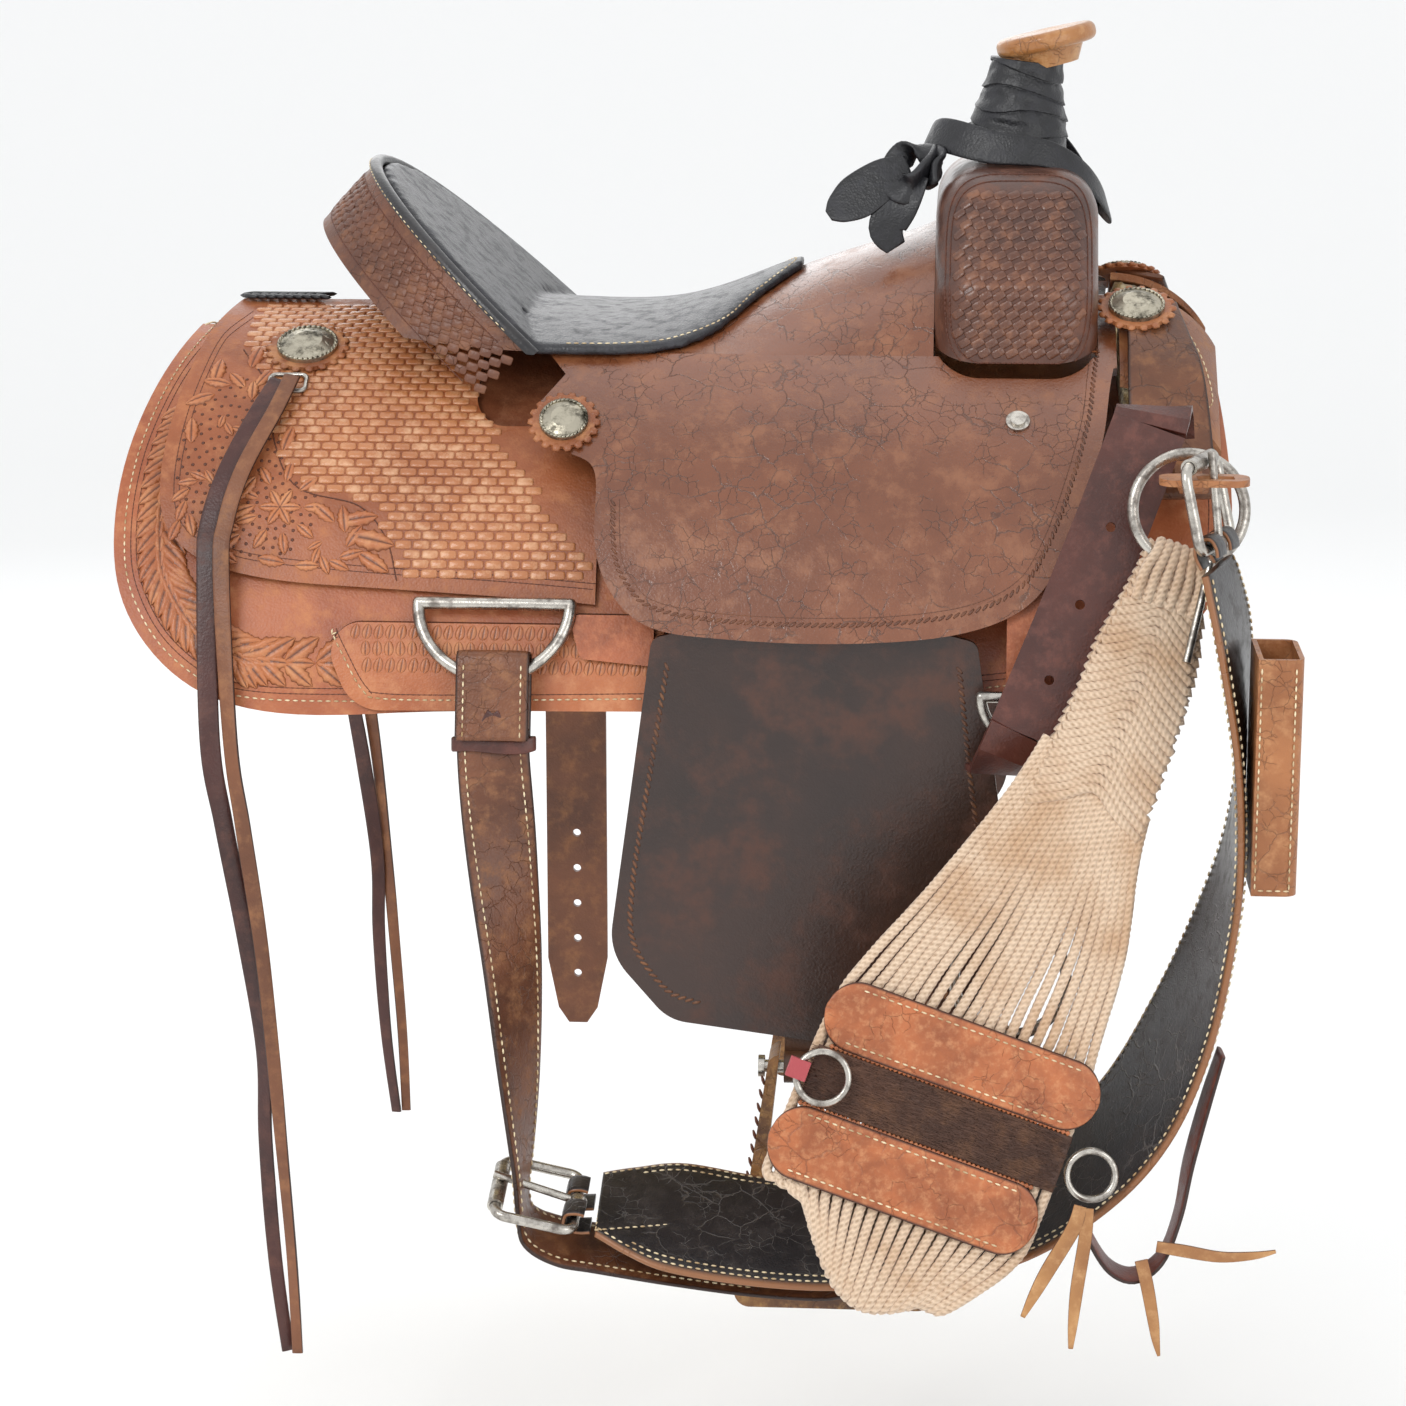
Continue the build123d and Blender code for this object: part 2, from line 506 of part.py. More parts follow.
billet = max(billet.solids(), key=lambda piece: piece.volume)
save("off_billet", billet)
save("latigo_left", flip(billet))

# ---- suspension strap for the cinches ----------------------------------------
carrier = top_block([
    (311, -286, 10), (311, -312, 10), (364, -312, 10), (364, -286, 10)], -33.4, -29.4)
carrier_foot = ribbon([
    (333.7, -290, -31.4, 16.5, (1, 0, 0)), (333.7, -284, -32.4, 16.5, (1, 0, 0)),
    (333.7, -272, -41, 16.5, (1, 0, 0)), (333.7, -262, -43.5, 16.5, (1, 0, 0)),
    (333.7, -226, -44, 16.5, (1, 0, 0)), (333.7, -190, -41, 16.5, (1, 0, 0)),
    (333.7, -176, -41.5, 16.5, (1, 0, 0)), (333.7, -171, -47, 16.5, (1, 0, 0)),
    (333.7, -180, -62, 16.5, (1, 0, 0))], 4.0)
carrier = carrier + carrier_foot - holder - skirt_solid
carrier = max(carrier.solids(), key=lambda piece: piece.volume)

# ---- flank cinch ------------------------------------------------------------
flank_list = [
    (-24, -333, -501, 64, (0, 0.96, 0.27)), (-4, -341, -509, 84, (0, 0.95, 0.31)),
    (24, -349, -517, FLANK_W, (0, 0.94, 0.34)), (72, -350, -524, FLANK_W, (0, 0.94, 0.34)),
    (122, -350, -526, FLANK_W, (0, 0.94, 0.34)), (182, -350, -521, FLANK_W, (0, 0.94, 0.34)),
    (240, -350, -504, FLANK_W, (-0.10, 0.94, 0.32)),
    (290, -350, -470, FLANK_W, (-0.22, 0.94, 0.26)),
    (325, -350, -427, FLANK_W, (-0.30, 0.94, 0.15)),
    (347, -349, -372, FLANK_W, (-0.26, 0.96, 0.08)),
    (359, -347, -310, FLANK_W, (-0.14, 0.99, 0)), (363, -345, -255, FLANK_W, (0, 1, 0)),
    (359, -343, -190, 98, (0.12, 0.99, 0)), (348, -338, -130, 84, (0.26, 0.96, 0)),
    (339, -330, -92, 62, (0.35, 0.94, 0)), (336.5, -328, -82, 58, (0.35, 0.94, 0))]


def centred(near):
    x, y, z, w, side = near
    s = unit(side)
    return (x + s[0] * w / 2, y + s[1] * w / 2, z + s[2] * w / 2, w, side)


flank_path = [centred(n) for n in flank_list]
flank = ribbon(flank_path, FLANK_T)
front_side = unit((0.35, 0.94, 0))
front_down = unit((0.24, 0, -0.97))
front_x = unit(tuple(front_down[k] - sum(front_down[j] * front_side[j] for j in range(3)) * front_side[k]
                     for k in range(3)))
front_mid = (340, -300, -45)
front_z = (front_x[1] * front_side[2] - front_x[2] * front_side[1],
           front_x[2] * front_side[0] - front_x[0] * front_side[2],
           front_x[0] * front_side[1] - front_x[1] * front_side[0])
front_buckle_plane = Plane(origin=front_mid, x_dir=front_x, z_dir=front_z)
FRAME_L = 50.0
FRAME_W = 62.0
FRAME_ROD = 6.5
front_frame = rod_frame(front_buckle_plane, FRAME_L, FRAME_W, 8, FRAME_ROD)
rear_side = unit((0, 0.975, 0.22))
rear_x = (0.972, 0.052, -0.229)
rear_z = (rear_x[1] * rear_side[2] - rear_x[2] * rear_side[1],
          rear_x[2] * rear_side[0] - rear_x[0] * rear_side[2],
          rear_x[0] * rear_side[1] - rear_x[1] * rear_side[0])
rear_mid = (-62, -303, -487)
rear_buckle_plane = Plane(origin=rear_mid, x_dir=rear_x, z_dir=rear_z)
rear_frame = rod_frame(rear_buckle_plane, FRAME_L, FRAME_W, 8, FRAME_ROD)


def bar_tube(plane, at, inner, outer, length, gap):
    """Sleeve round a bar of the frame at local x = at; gap leaves a middle slot."""
    tube = Rot(90, 0, 0) * (Cylinder(outer, length) - Cylinder(inner, length + 2))
    if gap:
        tube = tube - Box(2 * outer + 2, gap, 2 * outer + 2)
    return plane * (Pos(at, 0, 0) * tube)


def tongue(plane, lift):
    """Pin hinged on the x = +L/2 bar, its point resting on the other bar's roller."""
    eye_ring = Rot(90, 0, 0) * (Cylinder(6.0, 6) - Cylinder(3.6, 8))
    a = (FRAME_L / 2 - 5, 0, 2.6)
    b = (-FRAME_L / 2 - 5, 0, lift)
    stem = Line(a, b)
    rod = sweep(Plane(origin=a, z_dir=stem % 0) * Circle(2.5), path=stem)
    return plane * (Pos(FRAME_L / 2, 0, 0) * eye_ring + rod)


front_tongue = tongue(front_buckle_plane, 8.2)
rear_tongue = tongue(rear_buckle_plane, 8.2)
front_roller = bar_tube(front_buckle_plane, -FRAME_L / 2, FRAME_ROD / 2 + GAP, 5.0, 44, 0)
rear_roller = bar_tube(rear_buckle_plane, -FRAME_L / 2, FRAME_ROD / 2 + GAP, 5.0, 44, 0)
front_fold = bar_tube(front_buckle_plane, FRAME_L / 2, FRAME_ROD / 2, 8.0, 44, 9)
rear_fold = bar_tube(rear_buckle_plane, FRAME_L / 2, FRAME_ROD / 2, 8.0, 44, 9)
flank_cinch = flank + front_fold + rear_fold
flank_cinch = flank_cinch - front_frame - rear_frame - front_tongue - rear_tongue
flank_cinch = max(flank_cinch.solids(), key=lambda s: s.volume)
save("flank_cinch", flank_cinch)
save("flank_buckle_frames", front_frame, rear_frame)
save("front_buckle_roller", front_roller)
save("rear_buckle_roller", rear_roller)
save("flank_buckle_tongues", front_tongue, rear_tongue)
slot = Pos(344, -300, -31) * Box(22, 11, 12)
save("carrier_strap", carrier - slot)

pocket = Pos(382.5, -318, -200) * (Box(27, 60, 143) - Box(21, 54, 150))
pocket = fillet(pocket.edges().filter_by(Axis.Z).sort_by(Axis.X)[-2:], 8)
save("flank_keeper", pocket - flank_cinch)

# ---- rear billets -----------------------------------------------------------
loop_at = (-95.0, -230.0, -172.4)
loop_down = (0, -0.259, -0.966)
loop_out = (0, -0.966, 0.259)
loop_plane = Plane(origin=loop_at, x_dir=loop_out, z_dir=(1, 0, 0))
loop_skin = rounded([(-8.6, -17.4, 8), (10.6, -17.4, 9), (10.6, 42, 3), (-8.6, 42, 2)])
loop_slot = rounded([(-5.8, -13.7, 3), (6.25, -13.7, 4), (6.25, 36, 2), (-5.8, 36, 2)])
loop = loop_plane * extrude(loop_skin - loop_slot, amount=BILLET_W / 2, both=True)
run = ribbon([
    (-95, -239.6, -208, 46, (1, 0, 0)), (-94, -243, -228, 46, (1, 0, 0)),
    (-88, -252, -290, 46, (0.9, 0.43, 0)), (-81, -266, -350, 46, (0.7, 0.71, 0)),
    (-76, -282, -410, 46, (0.45, 0.89, 0.02)), (-73, -296, -460, 44, (0.18, 0.98, 0.1)),
    (-72, -302.5, -492, 42, (0, 0.975, 0.22)), (-66, -303.5, -508, 44, (0, 0.95, 0.3)),
    (-48, -304, -517, 46, (0, 0.94, 0.34)), (-24, -304, -521, 46, (0, 0.94, 0.34)),
    (22, -303.5, -528, 46, (0, 0.94, 0.34)), (72, -302, -535, 44, (0, 0.94, 0.34)),
    (118, -302, -538, 40, (0, 0.94, 0.34)), (140, -302, -539, 26, (0, 0.94, 0.34))], STRAP_T)
rear_billet = loop + run
rear_billet = rear_billet - rear_tongue - Pos(0, 0, 1.2) * rear_tongue
rear_billet = max(rear_billet.solids(), key=lambda s: s.volume)
save("rear_billet_right", rear_billet - flank_cinch)
loose = ribbon([
    (-95, -239.6, -208, 46, (1, 0, 0)), (-94, -243, -228, 46, (1, 0, 0)),
    (-94, -245, -300, 46, (1, 0, 0)), (-94, -246, -400, 46, (1, 0, 0)),
    (-94, -246, -500, 46, (1, 0, 0)), (-94, -246, -540, 30, (1, 0, 0)),
    (-94, -246, -552, 14, (1, 0, 0))], STRAP_T)
for step in range(5):
    loose = loose - Pos(-94, -246, -400 - 28 * step) * Rot(90, 0, 0) * Cylinder(HOLE_D / 2, 20)
save("rear_billet_left", flip(loop + loose))

# ---- corded front cinch ------------------------------------------------------
C0 = (332.0, -252.0, -57.0)
CP = (189.0, -368.0, -452.0)
cinch_down = unit(tuple(CP[k] - C0[k] for k in range(3)))
cinch_side = unit((-cinch_down[2], 0, cinch_down[0]))
cinch_out = (
    -(cinch_side[1] * cinch_down[2] - cinch_side[2] * cinch_down[1]),
    -(cinch_side[2] * cinch_down[0] - cinch_side[0] * cinch_down[2]),
    -(cinch_side[0] * cinch_down[1] - cinch_side[1] * cinch_down[0]))
# local x across, local y up the cinch (s runs down, so y = -s), local z outward
cinch_plane = Plane(origin=C0, x_dir=cinch_side, z_dir=cinch_out)
SHIFT = -23.0


def cinch_slab(points, z0, z1, radius=0):
    face = rounded([(w + SHIFT, -s, radius) for w, s in points])
    return cinch_plane * (Pos(0, 0, z0) * extrude(face, amount=z1 - z0))


weave = cinch_slab([
    (10, 26), (46, 26), (58, 48), (64, 105), (66, 188), (-12, 164), (-3, 130), (-3, 48)], -6, 6, 6)
fan = cinch_slab([
    (-14, 164), (66, 189), (86, 289), (90, 336), (84, 446), (80, 470), (66, 500), (42, 524),
    (-8, 509), (-60, 480), (-82, 440), (-78, 356), (-65, 318), (-31, 255)], -3.5, 3.5, 8)
turn = cinch_slab([(74, 486), (62, 508), (42, 524), (-8, 509), (-50, 484), (-30, 470), (50, 470)],
                  -14, -3.5, 6)
fan_back = cinch_slab([(74, 486), (-50, 484), (-20, 400), (60, 400)], -14, -7, 5)
weave_back = cinch_slab([(60, 399.8), (-20, 399.8), (-4, 330), (44, 330)], -18, -7, 5)
ring_top = cinch_plane * (Pos(0, 0, 0) * Torus(RING_R, RING_ROD / 2))
ring_back = cinch_plane * (Pos(20 + SHIFT, -303, -12.5) * Torus(RING_R, RING_ROD / 2))
weave = weave - ring_top
weave_back = weave_back - ring_back
save("cinch_cords", fan + turn + fan_back)
save("cinch_weave", weave, weave_back)
patch_one = cinch_slab([(-80, 335), (94, 335), (94, 379), (-80, 379)], 3.5, 7.5, 14)
patch_two = cinch_slab([(-86, 415), (84, 415), (84, 461), (-86, 461)], 3.5, 7.5, 14)
save("cinch_patches", patch_one, patch_two)
hair_band = cinch_slab([(-76, 379.2), (86, 379.2), (86, 414.8), (-76, 414.8)], -6.5, 6.5, 5)
hair_band = hair_band - cinch_slab([(-90, 370), (92, 370), (92, 420), (-90, 420)], -3.5, 3.5)
hair_ends = cinch_slab([(-86, 385), (-76, 385), (-76, 409), (-86, 409)], -6.5, 6.5, 2)
hair_ends = hair_ends + cinch_slab([(86.5, 385), (96, 385), (96, 409), (86.5, 409)], -6.5, 6.5, 2)
hair_ends = hair_ends - fan
side_ring_plane = Plane(origin=C0, x_dir=cinch_side, z_dir=cinch_out)
ring_left = cinch_plane * (Pos(-68 + SHIFT, -397, 13.2) * Torus(15.5, 2.2))
ring_right = cinch_plane * (Pos(105 + SHIFT, -397, 0) * Torus(14.5, 2.2))
tape = cinch_plane * (Pos(-83.5 + SHIFT, -397, 12.4) * (
    Box(12, 12, 11.6) - Pos(0.6, 0, 0.8) * (Rot(90, 0, 0) * Cylinder(4.3, 30))))
hair_band = hair_band - (cinch_plane * (Pos(105 + SHIFT, -397, 0) * Torus(14.5, 3.4)))
hair_ends = hair_ends - (cinch_plane * (Pos(105 + SHIFT, -397, 0) * Torus(14.5, 3.4)))
hair_all = [s for s in (hair_band + hair_ends).solids() if s.volume > 60]
save("cinch_hair_band", *hair_all)
save("cinch_tape", tape)
save("cinch_side_ring_left", ring_left)
save("cinch_side_ring_right", ring_right)
pin_a = (22.0, -26.0, 9.6)
pin_b = (29.0, -88.0, 9.0)
pin_line = Line(pin_a, pin_b)
pin = cinch_plane * (sweep(Plane(origin=pin_a, z_dir=pin_line % 0) * Circle(2.4), path=pin_line))
save("cinch_end_rings", ring_top, ring_back, pin)

connector = ribbon([
    (355.5, -338, -372, 20, (-0.1, 0.99, 0)), (347, -338, -404, 20, (-0.2, 0.97, 0)),
    (338, -343, -440, 20, (-0.2, 0.97, 0)), (332, -352, -470, 20, (-0.1, 0.99, 0)),
    (322, -361, -494, 20, (0, 0.99, 0.1)), (306, -367, -504, 20, (0, 0.99, 0.1)),
    (290, -371, -497, 20, (0, 0.99, 0.1)), (277, -373, -476, 20, (0, 0.99, 0.1)),
    (272, -373, -462, 20, (0, 0.99, 0.1))], 3.2)
save("connector_strap", connector - flank_cinch)

# ---- saddle strings -----------------------------------------------------------
ring_spot, ring_normal = on_drape(REAR_C, REAR_R, -243, 35.2)
string_plane = Plane(origin=tuple(ring_spot[k] + 2.0 * ring_normal[k] for k in range(3)),
                     x_dir=(1, 0, 0), z_dir=ring_normal)
string_dee = rod_frame(string_plane, 24, 15, 4, 3.2)
save("string_dees", string_dee, flip(string_dee))
string_paths = [
    [(-248, 35.6), (-258, 42), (-273, 52), (-281, 60), (-281, 67)],
    [(-239, 35.6), (-246, 42), (-262, 52), (-270, 60), (-271, 67)]]
tails = [
    [(-276, -231, -215), (-268, -234, -270), (-256, -234, -345), (-247, -234, -420), (-247, -234, -480), (-243, -234, -560),
     (-236, -234, -625)],
    [(-262, -231, -215), (-255, -234, -270), (-246, -234, -345), (-240, -234, -420), (-236, -234, -480), (-231, -234, -560),
     (-229, -234, -625)]]
strings = []
for (path, end, w, lift) in [(string_paths[0], tails[0], 13, 5.8), (string_paths[1], tails[1], 11, 9.8)]:
    stations = []
    for x, t in path:
        place, normal = on_drape(REAR_C, REAR_R + lift, x, t)
        stations.append((place[0], place[1], place[2], w, (1, 0, 0)))
    for x, y, z in end:
        stations.append((x, y - lift + 5.8, z, w, (1, 0, 0)))
    strings.append(ribbon(stations, 3.0))
save("saddle_strings_right", *strings)
save("saddle_strings_left", *[flip(s) for s in strings])
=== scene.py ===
import math
import random

import bmesh
import bpy
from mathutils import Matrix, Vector, noise
from mathutils.bvhtree import BVHTree


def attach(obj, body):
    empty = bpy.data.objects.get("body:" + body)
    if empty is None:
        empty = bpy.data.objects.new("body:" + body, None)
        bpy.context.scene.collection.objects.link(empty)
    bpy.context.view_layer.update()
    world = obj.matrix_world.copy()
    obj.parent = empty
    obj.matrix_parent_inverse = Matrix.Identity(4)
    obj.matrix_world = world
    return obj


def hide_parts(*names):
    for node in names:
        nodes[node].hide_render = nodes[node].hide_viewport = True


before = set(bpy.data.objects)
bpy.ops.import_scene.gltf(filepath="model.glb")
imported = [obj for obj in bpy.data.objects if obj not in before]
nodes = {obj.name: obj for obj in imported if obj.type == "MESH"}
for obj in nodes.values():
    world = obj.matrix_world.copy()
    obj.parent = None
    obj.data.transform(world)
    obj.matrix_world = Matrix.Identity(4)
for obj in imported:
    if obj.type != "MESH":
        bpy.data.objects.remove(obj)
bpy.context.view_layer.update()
chance = random.Random(7)


# ---- Studio ------------------------------------------------------------------
# The saddle hangs clear of a plain pale floor, as on a rack, seen from its off
# side with soft light from both front corners and above.
scene = bpy.context.scene
scene.view_settings.view_transform = "Standard"
FLOOR = -0.76


def mesh_piece(name, points, faces):
    """A new mesh object at the origin, its place in its mesh."""
    mesh = bpy.data.meshes.new(name)
    mesh.from_pydata(points, [], faces)
    mesh.polygons.foreach_set("use_smooth", [True] * len(faces))
    piece = bpy.data.objects.new(name, mesh)
    scene.collection.objects.link(piece)
    return piece


SWEEP = [(-9.0, 0.0), (4.0, 0.0)]
SWEEP += [(4.0 + 3.0 * math.sin(math.radians(a)), 3.0 - 3.0 * math.cos(math.radians(a))) for a in range(5,
    91, 5)]
SWEEP += [(7.0, 9.0)]
floor_points = [(x, y, FLOOR + z) for y, z in SWEEP for x in (-12, 12)]
floor = mesh_piece("floor", floor_points, [(2 * k, 2 * k + 1, 2 * k + 3,
                                            2 * k + 2) for k in range(len(SWEEP) - 1)])
floor_paint = bpy.data.materials.new("pale_floor")
floor_paint.use_nodes = True
floor_paint.node_tree.nodes["Principled BSDF"].inputs["Base Color"].default_value = (0.93, 0.93, 0.92, 1)
floor_paint.node_tree.nodes["Principled BSDF"].inputs["Roughness"].default_value = 0.8
floor.data.materials.append(floor_paint)

world = bpy.data.worlds.new("studio")
world.use_nodes = True
world.node_tree.nodes["Background"].inputs["Color"].default_value = (0.97, 0.98, 1.0, 1)
world.node_tree.nodes["Background"].inputs["Strength"].default_value = 1.0
scene.world = world


def softbox(name, place, aim, size, power):
    lamp = bpy.data.lights.new(name, "AREA")
    lamp.energy = power
    lamp.size = size
    holder = bpy.data.objects.new(name, lamp)
    holder.location = place
    holder.rotation_euler = (Vector(aim) - Vector(place)).to_track_quat("-Z", "Y").to_euler()
    scene.collection.objects.link(holder)


softbox("key", (-1.3, -2.3, 1.5), (0, 0, -0.1), 1.1, 30)
softbox("fill", (1.9, -2.4, 0.6), (0, 0, -0.2), 1.6, 15)
softbox("top", (0.2, 0.4, 2.2), (0, 0, 0), 1.8, 6)
softbox("back", (-0.6, 2.6, 1.2), (0, 0, 0), 1.8, 14)

lens = bpy.data.cameras.new("camera")
lens.lens = 92.9
lens.sensor_width = 36
camera = bpy.data.objects.new("camera", lens)
camera.location = (0.1899, -2.4300, 0.3224)
aim = Vector((0.020, 0, -0.240)) - camera.location
camera.rotation_euler = aim.to_track_quat("-Z", "Y").to_euler()
scene.collection.objects.link(camera)
scene.camera = camera


# ---- Skirts ------------------------------------------------------------------
# Two russet skirting-leather panels over the fleece, oiled and tooled, with a
# stitched border and carved leaves at the rear corners.
def tint(code):
    """Linear colour of an sRGB hex code."""
    parts = [int(code[k:k + 2], 16) / 255 for k in (0, 2, 4)]
    return [((c + 0.055) / 1.055) ** 2.4 if c > 0.04 else c / 12.92 for c in parts] + [1.0]


def put(tree, kind, feeds=None, **settings):
    """Adds a shading node; each feed is a value or another node's output."""
    made = tree.nodes.new(kind)
    for key, value in settings.items():
        setattr(made, key, value)
    for key, value in (feeds or {}).items():
        if isinstance(value, bpy.types.NodeSocket):
            tree.links.new(value, made.inputs[key])
        else:
            made.inputs[key].default_value = value
    return made


def surface(name):
    """A new material with its node tree, its shader and its object coordinates."""
    material = bpy.data.materials.new(name)
    material.use_nodes = True
    tree = material.node_tree
    place = put(tree, "ShaderNodeTexCoord").outputs["Object"]
    return material, tree, tree.nodes["Principled BSDF"], place


def calc(tree, operation, *terms):
    return put(tree, "ShaderNodeMath", dict(enumerate(terms)), operation=operation).outputs[0]


def ease(tree, value, low, high):
    """0 below low, 1 above high, smooth between."""
    feeds = {"Value": value, "From Min": low, "From Max": high}
    return put(tree, "ShaderNodeMapRange", feeds, interpolation_type="SMOOTHSTEP").outputs[0]


def mixed(tree, factor, under, over):
    feeds = {0: factor, 6: under, 7: over}
    return put(tree, "ShaderNodeMix", feeds, data_type="RGBA").outputs[2]


def cloud(tree, place, scale, detail=4.0, rough=0.55, warp=0.0):
    feeds = {"Vector": place, "Scale": scale, "Detail": detail, "Roughness": rough, "Distortion": warp}
    return put(tree, "ShaderNodeTexNoise", feeds).outputs["Fac"]


def bumped(tree, height, depth, under=None):
    feeds = {"Height": height, "Distance": depth, "Strength": 1.0}
    if under is not None:
        feeds["Normal"] = under
    return put(tree, "ShaderNodeBump", feeds).outputs["Normal"]


def cracked(tree, place, scale, width):
    """1 along the lines of a crazed surface, 0 between them."""
    warp = put(tree, "ShaderNodeTexNoise", {"Vector": place, "Scale": scale * 1.6, "Detail": 3.0})
    bend = put(tree, "ShaderNodeVectorMath", {0: warp.outputs["Color"], "Scale": 0.55 / scale},
               operation="SCALE")
    moved = put(tree, "ShaderNodeVectorMath", {0: place, 1: bend.outputs[0]}, operation="ADD").outputs[0]
    cells = put(tree, "ShaderNodeTexVoronoi", {"Vector": moved, "Scale": scale},
                feature="DISTANCE_TO_EDGE")
    line = calc(tree, "SUBTRACT", 1.0, ease(tree, cells.outputs["Distance"], 0.0, width))
    patchy = ease(tree, cloud(tree, place, scale * 0.35), 0.47, 0.56)
    return calc(tree, "MULTIPLY", line, patchy)


def drape_edge(tree, centre, radius):
    """1 on the cut edge of a leather bent round a lengthwise cylinder."""
    coords = put(tree, "ShaderNodeTexCoord")
    place = put(tree, "ShaderNodeSeparateXYZ", {0: coords.outputs["Object"]})
    normal = put(tree, "ShaderNodeSeparateXYZ", {0: coords.outputs["Normal"]})
    across = calc(tree, "ADD", calc(tree, "ABSOLUTE", place.outputs[1]), centre[0])
    up = calc(tree, "SUBTRACT", place.outputs[2], centre[1])
    side = calc(tree, "MULTIPLY", calc(tree, "ABSOLUTE", normal.outputs[1]),
                calc(tree, "DIVIDE", across, radius))
    top = calc(tree, "MULTIPLY", calc(tree, "ABSOLUTE", normal.outputs[2]),
               calc(tree, "DIVIDE", up, radius))
    facing = calc(tree, "ABSOLUTE", calc(tree, "ADD", side, calc(tree, "ABSOLUTE", top)))
    return calc(tree, "SUBTRACT", 1.0, ease(tree, facing, 0.5, 0.8))


def strap_edge(tree):
    """1 along both long edges of a strap made by strap()."""
    across = put(tree, "ShaderNodeAttribute", attribute_name="across").outputs["Fac"]
    return ease(tree, calc(tree, "ABSOLUTE", across), 0.90, 0.985)


def leather(name, dark, mid, light, rough=0.5, grain=0.00012, crack=0.0, gloss=0.0, edge=None,
            edge_crack_and_painted_shade="2a150c", spread=11.0,
            split=None):
    """Oiled leather: drifting colour, pores, optional crazing, and an edge mask: dark cut edges, painted
    shade in carved hollows.
    """
    material, tree, shader, place = surface(name)
    drift = ease(tree, cloud(tree, place, spread, 5.0, 0.6, 0.4), 0.28, 0.72)
    fleck = ease(tree, cloud(tree, place, spread * 6, 6.0, 0.7), 0.45, 0.72)
    colour = mixed(tree, drift, tint(dark), tint(mid))
    colour = mixed(tree, calc(tree, "MULTIPLY", fleck, 0.5), colour, tint(light))
    pores = put(tree, "ShaderNodeTexVoronoi", {"Vector": place, "Scale": 620.0}).outputs["Distance"]
    creases = cloud(tree, place, 160.0, 5.0, 0.7, 0.6)
    normal = bumped(tree, calc(tree, "ADD", pores, calc(tree, "MULTIPLY", creases, 2.5)), grain)
    if crack:
        lines = calc(tree, "MAXIMUM", cracked(tree, place, 45.0, 0.03), cracked(tree, place, 110.0, 0.03))
        colour = mixed(tree, calc(tree, "MULTIPLY", lines, crack), colour, tint(split or edge_crack_and_painted_shade))
        normal = bumped(tree, calc(tree, "SUBTRACT", 1.0, lines), 0.0003, normal)
    if edge is not None:
        colour = mixed(tree, edge(tree), colour, tint(edge_crack_and_painted_shade))
    tree.links.new(colour, shader.inputs["Base Color"])
    dull = calc(tree, "ADD", rough - 0.12, calc(tree, "MULTIPLY", fleck, 0.24))
    tree.links.new(dull, shader.inputs["Roughness"])
    tree.links.new(normal, shader.inputs["Normal"])
    shader.inputs["Coat Weight"].default_value = gloss
    shader.inputs["Coat Roughness"].default_value = 0.28
    return material


def finish(material, *names):
    """Gives a CAD node its material."""
    for name in names:
        nodes[name].data.materials.clear()
        nodes[name].data.materials.append(material)


SKIRT_CENTRE = (0.0603, -0.2647)
SKIRT_RADIUS = 0.290
REAR_CENTRE = (0.040, -0.2163)
REAR_RADIUS = 0.256
SEAT_CENTRE = (0.048, -0.2382)
SEAT_RADIUS = 0.307
russet_skirt = leather("russet_skirt", "8a4526", "a9603a", "c98a5c", 0.52,
                       edge=lambda tree: drape_edge(tree, SKIRT_CENTRE, SKIRT_RADIUS), edge_crack_and_painted_shade="4a2412")
finish(russet_skirt, "skirt_right", "skirt_left")


def at(x, y, z):
    return Vector((x, y, z)) / 1000


def on_drape(centre, radius, x, z, side):
    """Point on a drape, x and z in millimetres, and the way its face looks."""
    high = z / 1000 - centre[1]
    wide = math.sqrt(max(radius ** 2 - high ** 2, 0.0))
    place = Vector((x / 1000, side * (wide - centre[0]), z / 1000))
    return place, Vector((0, side * wide, high)).normalized()


def curve_through(corners, steps=8):
    """Smooth run of points through the corners, of any number of columns."""
    out = []
    last = len(corners) - 1
    for i in range(last):
        a, b = corners[max(i - 1, 0)], corners[i]
        c, d = corners[i + 1], corners[min(i + 2, last)]
        for k in range(steps):
            t = k / steps
            out.append([0.5 * (2 * q + (r - p) * t + (2 * p - 5 * q + 4 * r - s) * t * t
                               + (3 * q - p - 3 * r + s) * t ** 3) for p, q, r, s in zip(a, b, c, d)])
    out.append(list(corners[-1]))
    return out


def inset(outline, distance):
    """An open X-Z run moved sideways, to its left for a positive distance."""
    out = []
    for i, (x, z) in enumerate(outline):
        a = outline[max(i - 1, 0)]
        b = outline[min(i + 1, len(outline) - 1)]
        dx, dz = b[0] - a[0], b[1] - a[1]
        size = math.hypot(dx, dz) or 1.0
        out.append((x - dz / size * distance, z + dx / size * distance))
    return out


def march(places, ups, pitch):
    """Marks at an even pitch along a run: (place, up, along)."""
    marks = []
    due = pitch / 2
    for a, b, up in zip(places, places[1:], ups):
        size = (b - a).length
        if size < 1e-7:
            continue
        along = (b - a) / size
        while due < size:
            marks.append((a + along * due, up, along))
            due += pitch
        due -= size
    return marks


def draped_marks(outline, centre, radius, pitch, lift=0.0):
    marks = []
    for side in (-1, 1):
        spots = [on_drape(centre, radius + lift, x, z, side) for x, z in outline]
        marks += march([s[0] for s in spots], [s[1] for s in spots], pitch)
    return marks


